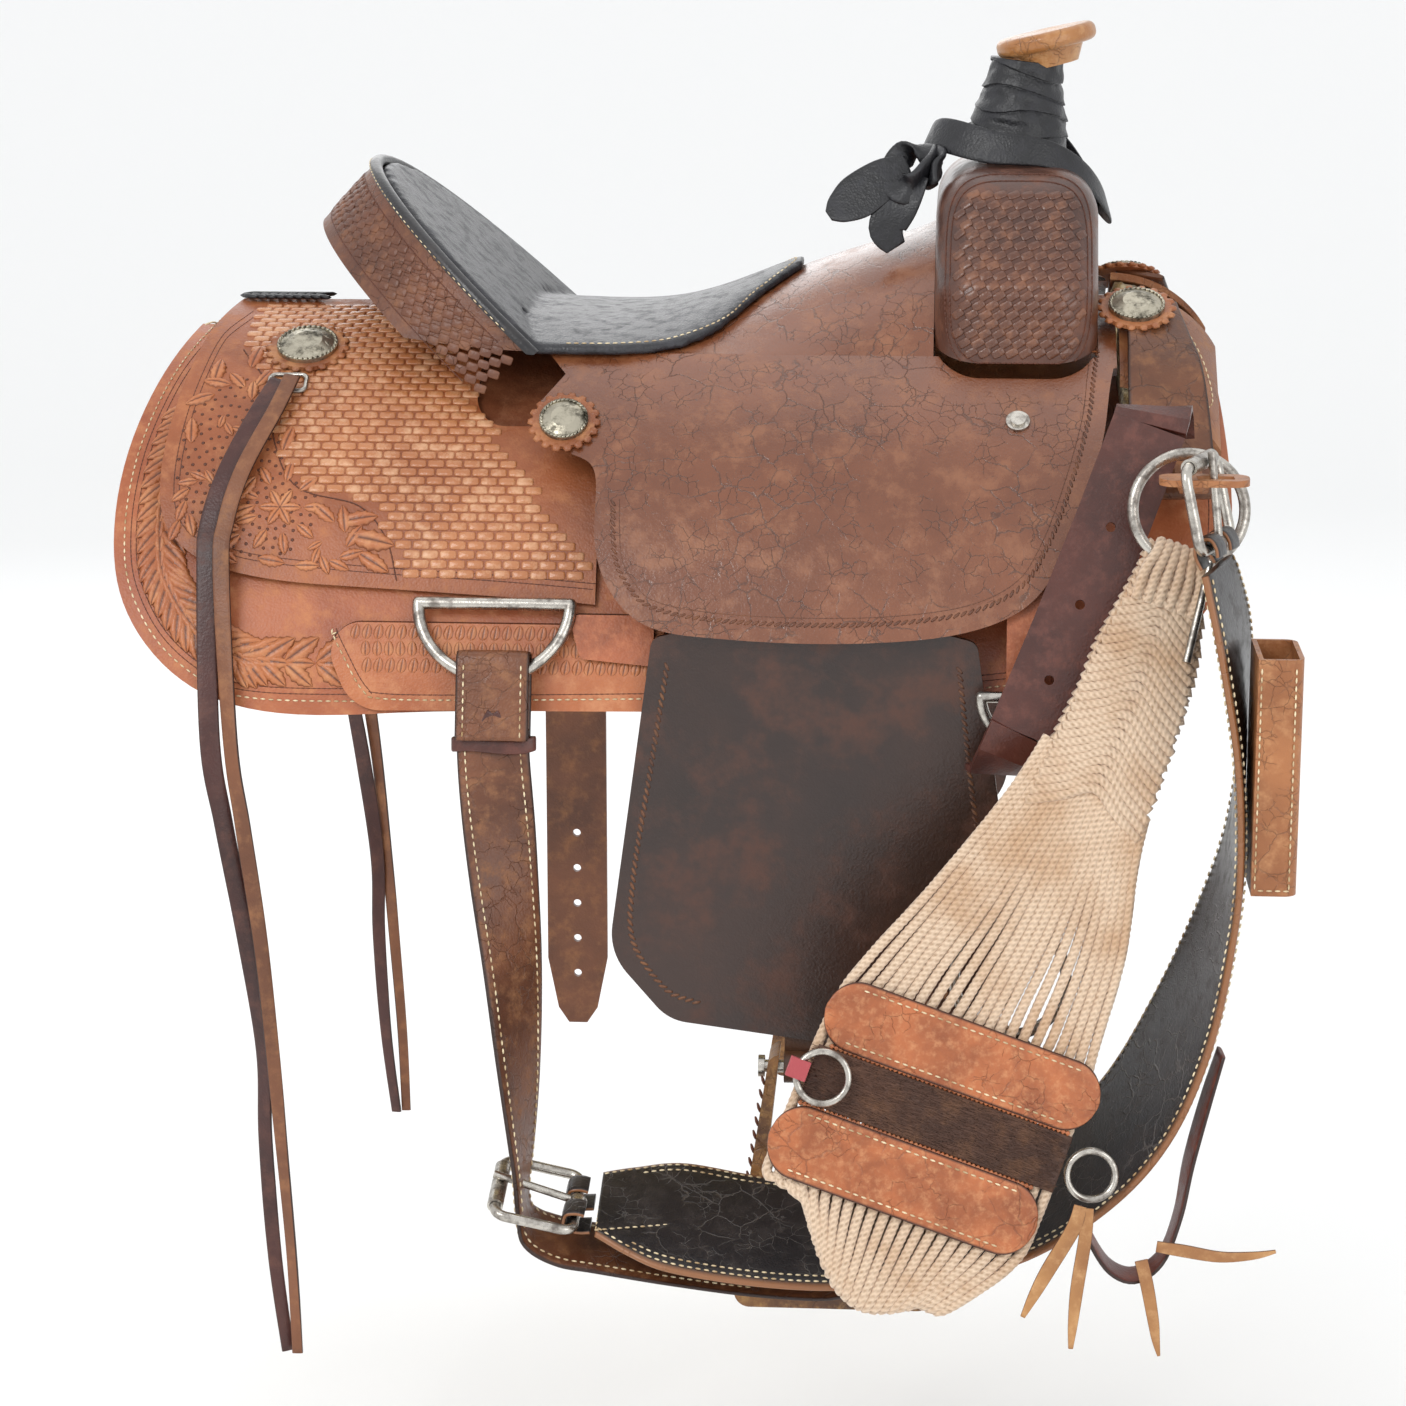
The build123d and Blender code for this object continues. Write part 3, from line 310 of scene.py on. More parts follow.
def small_shape(name, rings, segments, square):
    """A rounded lump, 1 across each way: round at square 1, boxy below it."""
    points = [(0, 0, -0.5)]
    faces = []
    for i in range(1, rings):
        tilt = math.pi * i / rings - math.pi / 2
        for k in range(segments):
            turn = 2 * math.pi * (k + 0.5) / segments
            reach = 0.5 * math.cos(tilt) ** square
            x = math.copysign(abs(math.cos(turn)) ** square, math.cos(turn))
            y = math.copysign(abs(math.sin(turn)) ** square, math.sin(turn))
            points.append((x * reach, y * reach, 0.5 * math.sin(tilt)))
    points.append((0, 0, 0.5))
    for k in range(segments):
        after = (k + 1) % segments
        faces.append((0, 1 + after, 1 + k))
        for i in range(rings - 2):
            base = 1 + i * segments
            faces.append((base + k, base + after, base + segments + after, base + segments + k))
        base = 1 + (rings - 2) * segments
        faces.append((base + k, base + after, len(points) - 1))
    mesh = bpy.data.meshes.new(name)
    mesh.from_pydata(points, [], faces)
    return bpy.data.objects.new(name, mesh)


stitch_shape = small_shape("stitch_shape", 4, 6, 1.0)
tile_shape = small_shape("tile_shape", 6, 12, 0.4)

stamp_tree = bpy.data.node_groups.new("stamped_marks", "GeometryNodeTree")
stamp_tree.is_modifier = True
stamp_sockets = {}
for label, kind in (("Marks", "Geometry"), ("Shape", "Object"), ("Size", "Vector"), ("Turn", "Float"),
                    ("Finish", "Material")):
    made = stamp_tree.interface.new_socket(label, in_out="INPUT", socket_type="NodeSocket" + kind)
    stamp_sockets[label] = made.identifier
stamp_tree.interface.new_socket("Pieces", in_out="OUTPUT", socket_type="NodeSocketGeometry")
given = put(stamp_tree, "NodeGroupInput").outputs
up_field = put(stamp_tree, "GeometryNodeInputNamedAttribute", {"Name": "up"},
               data_type="FLOAT_VECTOR").outputs[0]
along_field = put(stamp_tree, "GeometryNodeInputNamedAttribute", {"Name": "along"},
                  data_type="FLOAT_VECTOR").outputs[0]
grow_field = put(stamp_tree, "GeometryNodeInputNamedAttribute", {"Name": "grow"},
                 data_type="FLOAT").outputs[0]
shape_info = put(stamp_tree, "GeometryNodeObjectInfo", {"Object": given["Shape"]})
stood = put(stamp_tree, "FunctionNodeAlignRotationToVector", {"Vector": up_field}, axis="Z")
laid = put(stamp_tree, "FunctionNodeAlignRotationToVector",
           {"Rotation": stood.outputs[0], "Vector": along_field}, axis="X", pivot_axis="Z")
twist = put(stamp_tree, "FunctionNodeAxisAngleToRotation", {"Axis": (0, 0, 1), "Angle": given["Turn"]})
turned = put(stamp_tree, "FunctionNodeRotateRotation",
             {"Rotation": laid.outputs[0], "Rotate By": twist.outputs[0]}, rotation_space="LOCAL")
grown = put(stamp_tree, "ShaderNodeVectorMath", {0: given["Size"], "Scale": grow_field},
            operation="SCALE")
placed = put(stamp_tree, "GeometryNodeInstanceOnPoints", {
    "Points": given["Marks"], "Instance": shape_info.outputs["Geometry"],
    "Rotation": turned.outputs[0], "Scale": grown.outputs[0]})
real = put(stamp_tree, "GeometryNodeRealizeInstances", {0: placed.outputs[0]})
soft = put(stamp_tree, "GeometryNodeSetShadeSmooth", {0: real.outputs[0]})
dressed = put(stamp_tree, "GeometryNodeSetMaterial", {0: soft.outputs[0], "Material": given["Finish"]})
put(stamp_tree, "NodeGroupOutput", {0: dressed.outputs[0]})


def plain_mesh(piece):
    """Turns a piece with live modifiers into a plain mesh."""
    depsgraph = bpy.context.evaluated_depsgraph_get()
    made = bpy.data.meshes.new_from_object(piece.evaluated_get(depsgraph), depsgraph=depsgraph)
    piece.modifiers.clear()
    piece.data = made


def stamped(name, body, marks, shape, size, material, turn=0.0):
    """Presses one copy of a small shape, size in millimetres, at each mark."""
    piece = mesh_piece(name, [m[0] for m in marks], [])
    for label, column in (("up", 1), ("along", 2)):
        layer = piece.data.attributes.new(label, "FLOAT_VECTOR", "POINT")
        layer.data.foreach_set("vector", [c for m in marks for c in m[column]])
    layer = piece.data.attributes.new("grow", "FLOAT", "POINT")
    layer.data.foreach_set("value", [m[3] if len(m) > 3 else 1.0 for m in marks])
    press = piece.modifiers.new("press", "NODES")
    press.node_group = stamp_tree
    press[stamp_sockets["Shape"]] = shape
    press[stamp_sockets["Size"]] = Vector(size) / 1000
    press[stamp_sockets["Turn"]] = turn
    press[stamp_sockets["Finish"]] = material
    plain_mesh(piece)
    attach(piece, body)
    return piece


def thread(name, colour):
    material, tree, shader, place = surface(name)
    soil = ease(tree, cloud(tree, place, 60.0), 0.35, 0.7)
    tree.links.new(mixed(tree, soil, tint(colour), tint("a88a62")), shader.inputs["Base Color"])
    tree.links.new(bumped(tree, cloud(tree, place, 2500.0), 0.0002), shader.inputs["Normal"])
    shader.inputs["Roughness"].default_value = 0.85
    return material


cream_thread = thread("cream_thread", "ead9b4")
STITCH = (3.8, 1.2, 1.3)
skirt_outline = curve_through([
    (-312, 30), (-328, 6), (-338, -20), (-345, -53), (-346, -92), (-339, -127), (-317, -162),
    (-284, -187),
    (-249, -197.5), (-156, -198), (0, -195), (130, -190), (215, -184), (287, -172), (333, -146),
    (358, -114), (365, -79), (363, -35), (358, -1)])
SEAM_PITCH = 0.0052
stamped("skirt_stitches", "saddle",
        draped_marks(inset(skirt_outline, 7), SKIRT_CENTRE, SKIRT_RADIUS, SEAM_PITCH, 0.0002),
        stitch_shape, STITCH, cream_thread)
# Dark leather for creased and cut lines: painted shade in their grooves; the matting and stirrup lacing
# use it too.
creased = leather("creased_line", "4a2413", "5a2d18", "6d3a20", 0.6)
CREASE = (5, 0.9, 1)
CREASE_PITCH = 0.0034
CREASE_SINK = -0.0002


def crease(name, outline, depth, centre, radius):
    """A tooled line on both sides, depth millimetres in from an outline, drawn dark as painted shade."""
    marks = draped_marks(inset(outline, depth), centre, radius, CREASE_PITCH, CREASE_SINK)
    stamped(name, "saddle", marks, stitch_shape, CREASE, creased)


for number, depth in enumerate((11.0, 14.5)):
    crease(f"skirt_crease_{number}", skirt_outline, depth, SKIRT_CENTRE, SKIRT_RADIUS)


def leaf_shape(name, lobes):
    """A carved leaf 1 long and 1 wide, veined, with a scalloped edge."""
    points, faces, hollow_shades = [], [], []
    long, wide = 18, 9
    for i in range(long + 1):
        t = i / long
        half = 0.5 * math.sin(math.pi * t ** 0.75) ** 0.8 * (1 - 0.22 * abs(math.sin(lobes * math.pi * t)))
        for k in range(wide):
            s = 2 * k / (wide - 1) - 1
            ribs = abs(math.sin(lobes * math.pi * (t - 0.18 * abs(s))))
            vein = 0.28 * math.exp(-(s / 0.18) ** 2) + 0.12 * ribs
            # The hollow mask covers veins, ribs and cut edge; the carved leather paints shade there.
            hollow_shades.append(min(0.85 * s ** 8 + 0.7 * math.exp(-(s / 0.12) ** 2) + vein, 1.0))
            swell = 0.75 * (1 - s ** 4) * math.sin(math.pi * min(max(t, 0.02), 0.98)) ** 0.5
            points.append((t + 0.10 * abs(s) * math.sin(math.pi * t), s * half, swell - vein))
    for i in range(long):
        for k in range(wide - 1):
            a = i * wide + k
            faces.append((a, a + wide, a + wide + 1, a + 1))
    mesh = bpy.data.meshes.new(name)
    mesh.from_pydata(points, [], faces)
    mesh.attributes.new("hollow_shade", "FLOAT", "POINT").data.foreach_set("value", hollow_shades)
    return bpy.data.objects.new(name, mesh)


def leaf_hollow_shade(tree):
    """1 in the veins and along the cut edge of a carved leaf: where its painted shade goes."""
    return put(tree, "ShaderNodeAttribute", attribute_name="hollow_shade").outputs["Fac"]


leaf = leaf_shape("leaf_shape", 5)
petal = leaf_shape("petal_shape", 1)


def carved(spots, centre, radius):
    """Marks for leaves on a drape: each spot is x, z, heading in degrees, length."""
    marks = []
    for side in (-1, 1):
        for x, z, heading, size in spots:
            place, up = on_drape(centre, radius, x, z, side)
            turn = math.radians(heading)
            slope = Vector((0, side * -up.z, side * up.y)) * side
            slope = slope if slope.z > 0 else -slope
            along = Vector((math.cos(turn), 0, 0)) + slope * math.sin(turn)
            marks.append((place, up, along.normalized(), size / 20))
    return marks


def scroll(x, z, reach, start, turns, count):
    """Leaves that follow a spiral stem out from x, z."""
    spots = []
    for i in range(count):
        t = i / (count - 1)
        angle = start + 360 * turns * t
        far = reach * (0.35 + 0.65 * t)
        spots.append((x + far * math.cos(math.radians(angle)), z + far * math.sin(math.radians(angle)),
                      angle + 62, 11 + 9 * t))
    return spots


# Carved leather: its veins and cut edges take painted shade, darker than the leaf.
carved_leather = leather("carved_leather", "a05a34", "bd7548", "d79c6c", 0.45, edge=leaf_hollow_shade,
                         edge_crack_and_painted_shade="5a2c16")
band = inset(skirt_outline, 30)
corner = [p for p in band if -338 < p[0] < -165 and p[1] < -20]
spots = []
for i, (x, z) in enumerate(corner):
    a, b = corner[max(i - 1, 0)], corner[min(i + 1, len(corner) - 1)]
    heading = math.degrees(math.atan2(b[1] - a[1], b[0] - a[0]))
    if i % 2 == 0:
        spots += [(x, z, heading + 38, 27), (x, z, heading - 38, 24), (x, z, heading, 20)]
stamped("skirt_carving", "saddle", carved(spots, SKIRT_CENTRE, SKIRT_RADIUS), leaf, (20, 11, 3.0),
        carved_leather)


# ---- Rigging plates ----------------------------------------------------------
# Flat-plate rigging sewn on the skirts below the jockeys: russet leather with a
# scalloped stamp, a seam and a creased line along its rounded end, and a worn tab over each dee.
russet_plate = leather("russet_plate", "96502c", "b46b40", "cf946a", 0.5,
                       edge=lambda tree: drape_edge(tree, SKIRT_CENTRE, SKIRT_RADIUS), edge_crack_and_painted_shade="4a2412")
finish(russet_plate, "rigging_plates")
PLATE_RADIUS = SKIRT_RADIUS + 0.0042
plate_outline = curve_through([(8, -191), (-100, -193.5), (-168, -193.5), (-183, -187), (-197, -165),
                               (-205, -149), (-200, -145)])
stamped("plate_stitches", "saddle", draped_marks(inset(plate_outline, -5), SKIRT_CENTRE, PLATE_RADIUS,
    0.005, 0.0002),
        stitch_shape, STITCH, cream_thread)
crease("plate_crease", plate_outline, -8, SKIRT_CENTRE, PLATE_RADIUS)
scallops = []
for row in range(3):
    for step in range(25):
        x = -186 + 7.4 * (step + 0.5 * (row % 2)) + 4 * row
        scallops.append((x, -153 - 10 * row, 90 if row % 2 else 80, 10.5))
stamped("plate_scallops", "saddle", carved([s for s in scallops if s[0] < 2], SKIRT_CENTRE, PLATE_RADIUS),
        petal, (19, 15, 2.2), carved_leather)
worn_tab = leather("worn_tab", "8a4a2c", "b0623c", "c98460", 0.55, spread=30.0, edge_crack_and_painted_shade="3a1c10",
                   edge=lambda tree: drape_edge(tree, SKIRT_CENTRE, SKIRT_RADIUS))
finish(worn_tab, "rigging_tabs", "front_rigging")


# ---- Rear jockeys ------------------------------------------------------------
# The leathers behind the cantle, basket stamped all over, with a smooth border
# and a carved flower with scrolling leaves in each rear corner.
russet_jockey = leather("russet_jockey", "7d4324", "9a5732", "b97a4e", 0.5,
                        edge=lambda tree: drape_edge(tree, REAR_CENTRE, REAR_RADIUS), edge_crack_and_painted_shade="3a1c0e")
# Basket tiles: a paler copy of the jockey leather, painted highlight on their tops; the darker leather
# between them is painted shade.
basket_leather_painted_highlight = leather("basket_leather_painted_highlight", "a0623a", "b97b50", "e6bd96", 0.36, gloss=0.25)
finish(russet_jockey, "rear_jockey_right", "rear_jockey_left")
rear_outline = curve_through([
    (-286, 38), (-302, 24), (-310, 0), (-315.5, -30), (-317, -61), (-312, -84), (-297, -101),
    (-261, -115), (-190, -122), (-94, -127), (-36, -131)])


def inside(x, z, outline):
    """Whether x, z is within a closed outline."""
    hit = False
    for (x0, z0), (x1, z1) in zip(outline, outline[1:] + outline[:1]):
        if (z0 > z) != (z1 > z) and x < x0 + (z - z0) * (x1 - x0) / (z1 - z0):
            hit = not hit
    return hit


flower_edge = [(-276, 14), (-252, -8), (-243, -38), (-226, -62), (-186, -72), (-166, -92), (-158, -116)]
basket_outline = curve_through(flower_edge) + [(-36, -117), (-36, 34), (-276, 34)]
marks = []
BASKET_LONG = 11.6
BASKET_ROW = 6.3
for side in (-1, 1):
    for row in range(40):
        angle = row * BASKET_ROW / 1000 / REAR_RADIUS + 0.20
        z = 1000 * (REAR_CENTRE[1] + REAR_RADIUS * math.cos(angle))
        for step in range(30):
            x = -285 + BASKET_LONG * (step + 0.5 * (row % 2))
            clear_of_cantle = x < -158 + (34 - z) * 0.83
            if inside(x, z, basket_outline) and clear_of_cantle:
                place, up = on_drape(REAR_CENTRE, REAR_RADIUS, x, z, side)
                marks.append((place, up, Vector((1, 0, 0))))
stamped("jockey_basket", "saddle", marks, tile_shape, (10.9, 5.7, 2.2), basket_leather_painted_highlight)
crease("jockey_border", rear_outline, 9, REAR_CENTRE, REAR_RADIUS)
crease("jockey_border_inner", rear_outline, 12.5, REAR_CENTRE, REAR_RADIUS)
# The cut round the flower is drawn dark: painted shade in the cut.
flower_line = inset(curve_through(flower_edge), -3)
stamped("flower_border", "saddle", draped_marks(flower_line, REAR_CENTRE, REAR_RADIUS, CREASE_PITCH, 0.0),
        stitch_shape, (5, 1.1, 1.4), creased)
spots = [(-238, -76, 60 * k, 14) for k in range(6)]
spots += [(-238 + 15 * math.cos(math.radians(a)), -76 + 15 * math.sin(math.radians(a)), a,
           15) for a in range(0, 360, 40)]
spots += scroll(-286, -70, 20, 30, 0.9, 11)
spots += scroll(-276, -22, 17, 200, 0.85, 9)
spots += scroll(-205, -98, 14, 150, 0.8, 8)
spots += [(-192, -92, -12, 30), (-186, -102, -32, 24), (-198, -84, 10, 24), (-262, -92, 215, 20),
          (-258, -50, 130, 22),
          (-270, 2, 80, 22), (-264, -8, 60, 18), (-300, -40, 95, 20), (-302, -84, 250, 16),
          (-280, -100, 330, 20),
          (-250, -106, 350, 18), (-226, -110, 0, 16), (-292, -6, 85, 22), (-240, -44, 75, 20)]
stamped("jockey_carving", "saddle", carved(spots, REAR_CENTRE, REAR_RADIUS), leaf, (20, 11, 3.2),
        carved_leather)
# The matting beads take the dark crease leather: painted shade in the matted ground.
beads = []
for k in range(300):
    angle, far = 2.4 * k, 3.0 * math.sqrt(k)
    x, z = -262 + far * math.cos(angle), -58 + far * math.sin(angle) * 1.1
    rear_of_line = inside(x, z, [(-310, 10)] + curve_through(flower_edge) + [(-261, -106), (-306, -84)])
    if rear_of_line:
        beads.append((x, z, 0, 20))
stamped("jockey_matting", "saddle", carved(beads, REAR_CENTRE, REAR_RADIUS), stitch_shape,
        (2.5, 2.5, 0.8),
        creased)
black_lace = leather("black_lace", "17171a", "232226", "3a3638", 0.5)


def braid(name, body, start, end, width, material, pitch=6.0):
    """Crossed lacing between two points: two rows of slanted turns."""
    run = end - start
    across = run.cross(Vector((0, 0, 1))).normalized()
    count = int(run.length * 1000 / pitch)
    pair = []
    for k in range(count):
        middle = start + run * ((k + 0.5) / count)
        for way in (-1, 1):
            along = (run.normalized() + across * way * 0.9).normalized()
            pair.append((middle + across * way * width / 4000, Vector((0, 0, 1)), along))
    return stamped(name, body, pair, stitch_shape, (width * 0.78, pitch * 0.8, 3.6), material)


lace = braid("crest_lacing", "saddle", at(-290, 0, 38.8), at(-234, 0, 38.8), 26, black_lace)
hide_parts("jockey_lace")


# ---- Cantle ------------------------------------------------------------------
# The raised back of the seat: a leaf-stamped back and a black rolled binding,
# whipped with pale thread, over the wooden tree.
worn_brown = leather("worn_brown", "4b2a1b", "6d4029", "8f6040", 0.5, crack=0.4)
cantle_edge = leather("cantle_edge", "151416", "211f21", "3a3432", 0.42, gloss=0.2)
finish(worn_brown, "cantle_back")
finish(cantle_edge, "cantle_roll")
tree_hide = leather("tree_hide", "9c7c50", "b8986a", "cdb488", 0.6)
finish(tree_hide, "tree_cantle", "tree_fork")
finish(leather("bar_cover", "5e3320", "7a452b", "94603f", 0.45), "tree_bars")
LEAN = math.radians(43)
CANTLE_UP = Vector((-math.cos(LEAN), 0, math.sin(LEAN)))
CANTLE_BACK = Vector((-math.sin(LEAN), 0, -math.cos(LEAN)))
CANTLE_FOOT = at(-62, 0, 2)


def rim_point(turn, half, tall, deep):
    """On the cantle's half ellipse; turn in degrees from the right foot."""
    t = math.radians(turn)
    outward = Vector((0, -math.cos(t) / half, 0)) + CANTLE_UP * (math.sin(t) / tall)
    place = CANTLE_FOOT + Vector((0, -half * math.cos(t),
                                  0)) / 1000 + CANTLE_UP * (tall * math.sin(t) / 1000)
    return place + CANTLE_BACK * (deep / 1000), outward.normalized()


def rim_marks(half, tall, deep, pitch, low=14, high=166):
    spots = [rim_point(low + (high - low) * k / 160, half, tall, deep) for k in range(161)]
    return march([s[0] for s in spots], [s[1] for s in spots], pitch)


stamped("cantle_whipping", "saddle", rim_marks(143.5, 190.5, 1.0, SEAM_PITCH), stitch_shape,
        (3.4, 0.8, 0.9),
        cream_thread)
# Cantle creases drawn dark: painted shade in their grooves.
for number, deep in enumerate((10, 44)):
    stamped(f"cantle_crease_{number}", "saddle", rim_marks(140, 187, deep, CREASE_PITCH), stitch_shape,
            (5, 0.9, 0.8),
            creased)
rows = []
for row in range(5):
    for k, mark in enumerate(rim_marks(140, 187, 14 + 6.3 * row, 0.0088, 9, 171)):
        shift = mark[2] * 0.0044 * (row % 2)
        rows.append((mark[0] + shift, mark[1], mark[2]))
stamped("cantle_scales", "saddle", rows, tile_shape, (8.2, 5.8, 1.7), worn_brown,
        turn=0.45)


# ---- Seat leather ------------------------------------------------------------
# One brown hide over the ground seat that falls as a jockey down each side. Its
# finish has crazed and is polished by the rider's legs; a rope stamp edges it.
glazed = leather("glazed_brown", "63361f", "7c482c", "99633f", 0.34, grain=0.0001, crack=0.5, gloss=0.5,
                 edge=lambda tree: drape_edge(tree, SEAT_CENTRE, SEAT_RADIUS), edge_crack_and_painted_shade="1a0f0b", spread=8.0)
finish(glazed, "seat_leather")
seat_outline = curve_through([
    (-33, -64), (-30, -98), (-20, -118), (-2, -134), (35, -142), (97, -145), (158, -143), (207, -135),
    (240, -118), (258, -92), (272, -58), (284, -20), (288, 5), (291, 20)])
rope_stamp = leather("rope_stamp", "4a2817", "6a3c22", "8a5836", 0.5)
stamped("seat_rope_border", "saddle", draped_marks(inset(seat_outline, 11), SEAT_CENTRE, SEAT_RADIUS,
    0.0046),
        stitch_shape, (6.0, 2.0, 1.2), rope_stamp, turn=0.55)
stamped("seat_rope_line", "saddle", draped_marks(inset(seat_outline, 15), SEAT_CENTRE, SEAT_RADIUS,
    CREASE_PITCH, CREASE_SINK),
        stitch_shape, (5, 0.8, 0.9), rope_stamp)


def surface_of(*names):
    """Ray-casting tree over CAD nodes."""
    points, faces = [], []
    for name in names:
        base = len(points)
        mesh = nodes[name].data
        points += [v.co.copy() for v in mesh.vertices]
        faces += [[base + k for k in face.vertices] for face in mesh.polygons]
    return BVHTree.FromPolygons(points, faces)


def dropped(skin, spots):
    """Points let down onto a surface: a run of (place, up) for each side."""
    runs = []
    for side in (-1, 1):
        run = []
        for x, y in spots:
            place, normal, _, _ = skin.ray_cast(Vector((x / 1000, side * y / 1000, 0.4)),
                Vector((0, 0, -1)))
            if place is not None:
                run.append((place, normal if normal.z > 0 else -normal))
        runs.append(run)
    return runs


# ---- Seat pad ----------------------------------------------------------------
# Padded black seat from the cantle rim to a scalloped point behind the fork,
# sewn down along its edge.
pad_leather = leather("pad_leather", "1f1f22", "2b2b2f", "45444a", 0.46, grain=0.00022, spread=16.0)
strainer, strainer_tree, strainer_shader, strainer_place = surface("strainer_sheet")
spangle = put(strainer_tree, "ShaderNodeTexVoronoi",
              {"Vector": strainer_place, "Scale": 90.0}).outputs["Distance"]
strainer_tree.links.new(mixed(strainer_tree, spangle, tint("8f918f"), tint("b9bbb8")),
                        strainer_shader.inputs["Base Color"])
strainer_shader.inputs["Metallic"].default_value = 0.9
strainer_shader.inputs["Roughness"].default_value = 0.42
finish(strainer, "ground_seat")


def softened(name, source, voxel, passes, swell):
    """A rounded, welded copy of a CAD soft piece."""
    piece = bpy.data.objects.new(name, nodes[source].data.copy())
    scene.collection.objects.link(piece)
    weld = bmesh.new()
    weld.from_mesh(piece.data)
    bmesh.ops.remove_doubles(weld, verts=weld.verts, dist=0.00002)
    weld.to_mesh(piece.data)
    weld.free()
    plump = piece.modifiers.new("plump", "DISPLACE")
    plump.mid_level = 0.0
    plump.strength = swell
    grid = piece.modifiers.new("grid", "REMESH")
    grid.mode = "VOXEL"
    grid.voxel_size = voxel
    grid.use_smooth_shade = True
    relax = piece.modifiers.new("relax", "SMOOTH")
    relax.factor = 0.5
    relax.iterations = passes
    plain_mesh(piece)
    piece.data.materials.clear()
    return piece


pad = softened("padded_seat", "seat_pad", 0.003, 6, 0.0012)
pad.data.materials.append(pad_leather)
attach(pad, "saddle")
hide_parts("seat_pad")
pad_top = BVHTree.FromPolygons([v.co for v in pad.data.vertices],
                               [list(p.vertices) for p in pad.data.polygons])
pad_edge = curve_through([(-60, 126), (-30, 125), (0, 119), (18, 108), (34, 95), (46, 78), (57, 55),
                          (68, 38), (80, 16), (83, 0)])
marks = []
for run in dropped(pad_top, pad_edge):
    marks += march([r[0] for r in run], [r[1] for r in run], 0.005)
stamped("pad_stitches", "saddle", marks, stitch_shape, STITCH, cream_thread)


# ---- Fork cover --------------------------------------------------------------
# The swell leather, stamped with slanting scales inside a double creased line.
fork_brown = leather("fork_brown", "3a2016", "5a3322", "7d4c33", 0.42, gloss=0.25)
fork_scale = leather("fork_scale", "4a2a1c", "633a26", "94603f", 0.36, gloss=0.3)
finish(fork_brown, "fork_cover")
fork_skin = surface_of("fork_cover")
marks = []
for side in (-1, 1):
    for row in range(19):
        for step in range(15):
            x = 178 + 8.6 * (step + 0.5 * (row % 2))
            z = 16 + 6.0 * row
            panel = ((x - 229) / 41) ** 4 + ((z - 70) / 53) ** 4
            place, normal, _, _ = fork_skin.ray_cast(Vector((x / 1000, side * 0.4, z / 1000)),
                Vector((0, -side, 0)))
            if place is not None and panel < 1 and abs(place.y) > 0.05:
                normal = normal if normal.y * side > 0 else -normal
                marks.append((place, normal, Vector((0.86, 0, 0.5))))
stamped("fork_scales", "saddle", marks, tile_shape, (8.8, 5.6, 1.9), fork_scale)
# Fork creases drawn dark: painted shade in their grooves.
for number, grow in enumerate((1.06, 1.13)):
    marks = []
    for side in (-1, 1):
        run = []
        for k in range(181):
            t = math.radians(2 * k)
            across = 41 * grow * math.copysign(abs(math.cos(t)) ** 0.5, math.cos(t))
            tall = 53 * grow * math.copysign(abs(math.sin(t)) ** 0.5, math.sin(t))
            ray = Vector(((229 + across) / 1000, side * 0.4, (70 + tall) / 1000))
            place, normal, _, _ = fork_skin.ray_cast(ray, Vector((0, -side, 0)))
            if place is not None and abs(place.y) > 0.04:
                run.append((place, normal if normal.y * side > 0 else -normal))
        marks += march([r[0] for r in run], [r[1] for r in run], CREASE_PITCH)
    stamped(f"fork_crease_{number}", "saddle", marks, stitch_shape, (5, 1.1, 1.3), creased)


# ---- Horn --------------------------------------------------------------------
# A rawhide-capped horn, its neck wrapped in strips of old inner tube, with a
# wide spare band of the same rubber looped round its foot and knotted.
rawhide = leather("rawhide", "9a6436", "b9854f", "d0a574", 0.4, gloss=0.15, crack=0.3)
finish(rawhide, "horn")
rubber = leather("tube_rubber", "141416", "1d1d20", "34343a", 0.48, grain=0.0002)
NECK_FOOT = at(227, 0, 132)
NECK_TOP = at(234, 0, 200)


def strapped(name, body, stations, thick, material, steps=6, shape=5.0, closed=False):
    """A smooth strap through (x, y, z, width, side direction) stations, in mm."""
    flat = [[s[0], s[1], s[2], s[3], *s[4]] for s in stations]
    if closed:
        flat = flat[-2:] + flat + flat[:3]
    run = curve_through(flat, steps)
    if closed:
        run = run[2 * steps:len(run) - 2 * steps - 1]
    ring = 20
    points, faces, across = [], [], []
    count = len(run)
    for i, row in enumerate(run):
        ahead = run[(i + 1) % count] if closed else run[min(i + 1, count - 1)]
        behind = run[i - 1] if closed else run[max(i - 1, 0)]
        along = (Vector(ahead[:3]) - Vector(behind[:3])).normalized()
        side = Vector(row[4:7])
        side = (side - along * side.dot(along)).normalized()
        out = along.cross(side)
        for k in range(ring):
            t = 2 * math.pi * (k + 0.5) / ring
            c, s = math.cos(t), math.sin(t)
            a = math.copysign(abs(c) ** (2 / shape), c)
            b = math.copysign(abs(s) ** (2 / 3), s)
            spot = Vector(row[:3]) + side * (a * row[3] / 2) + out * (b * thick / 2)
            points.append(spot / 1000)
            across.append(a)
    for i in range(count if closed else count - 1):
        for k in range(ring):
            after = (k + 1) % ring
            j = (i + 1) % count
            faces.append((i * ring + k, i * ring + after, j * ring + after, j * ring + k))
    if not closed:
        faces.append(tuple(reversed(range(ring))))
        faces.append(tuple((count - 1) * ring + k for k in range(ring)))
    piece = mesh_piece(name, points, faces)
    layer = piece.data.attributes.new("across", "FLOAT", "POINT")
    layer.data.foreach_set("value", across)
    piece.data.materials.append(material)
    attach(piece, body)
    return piece


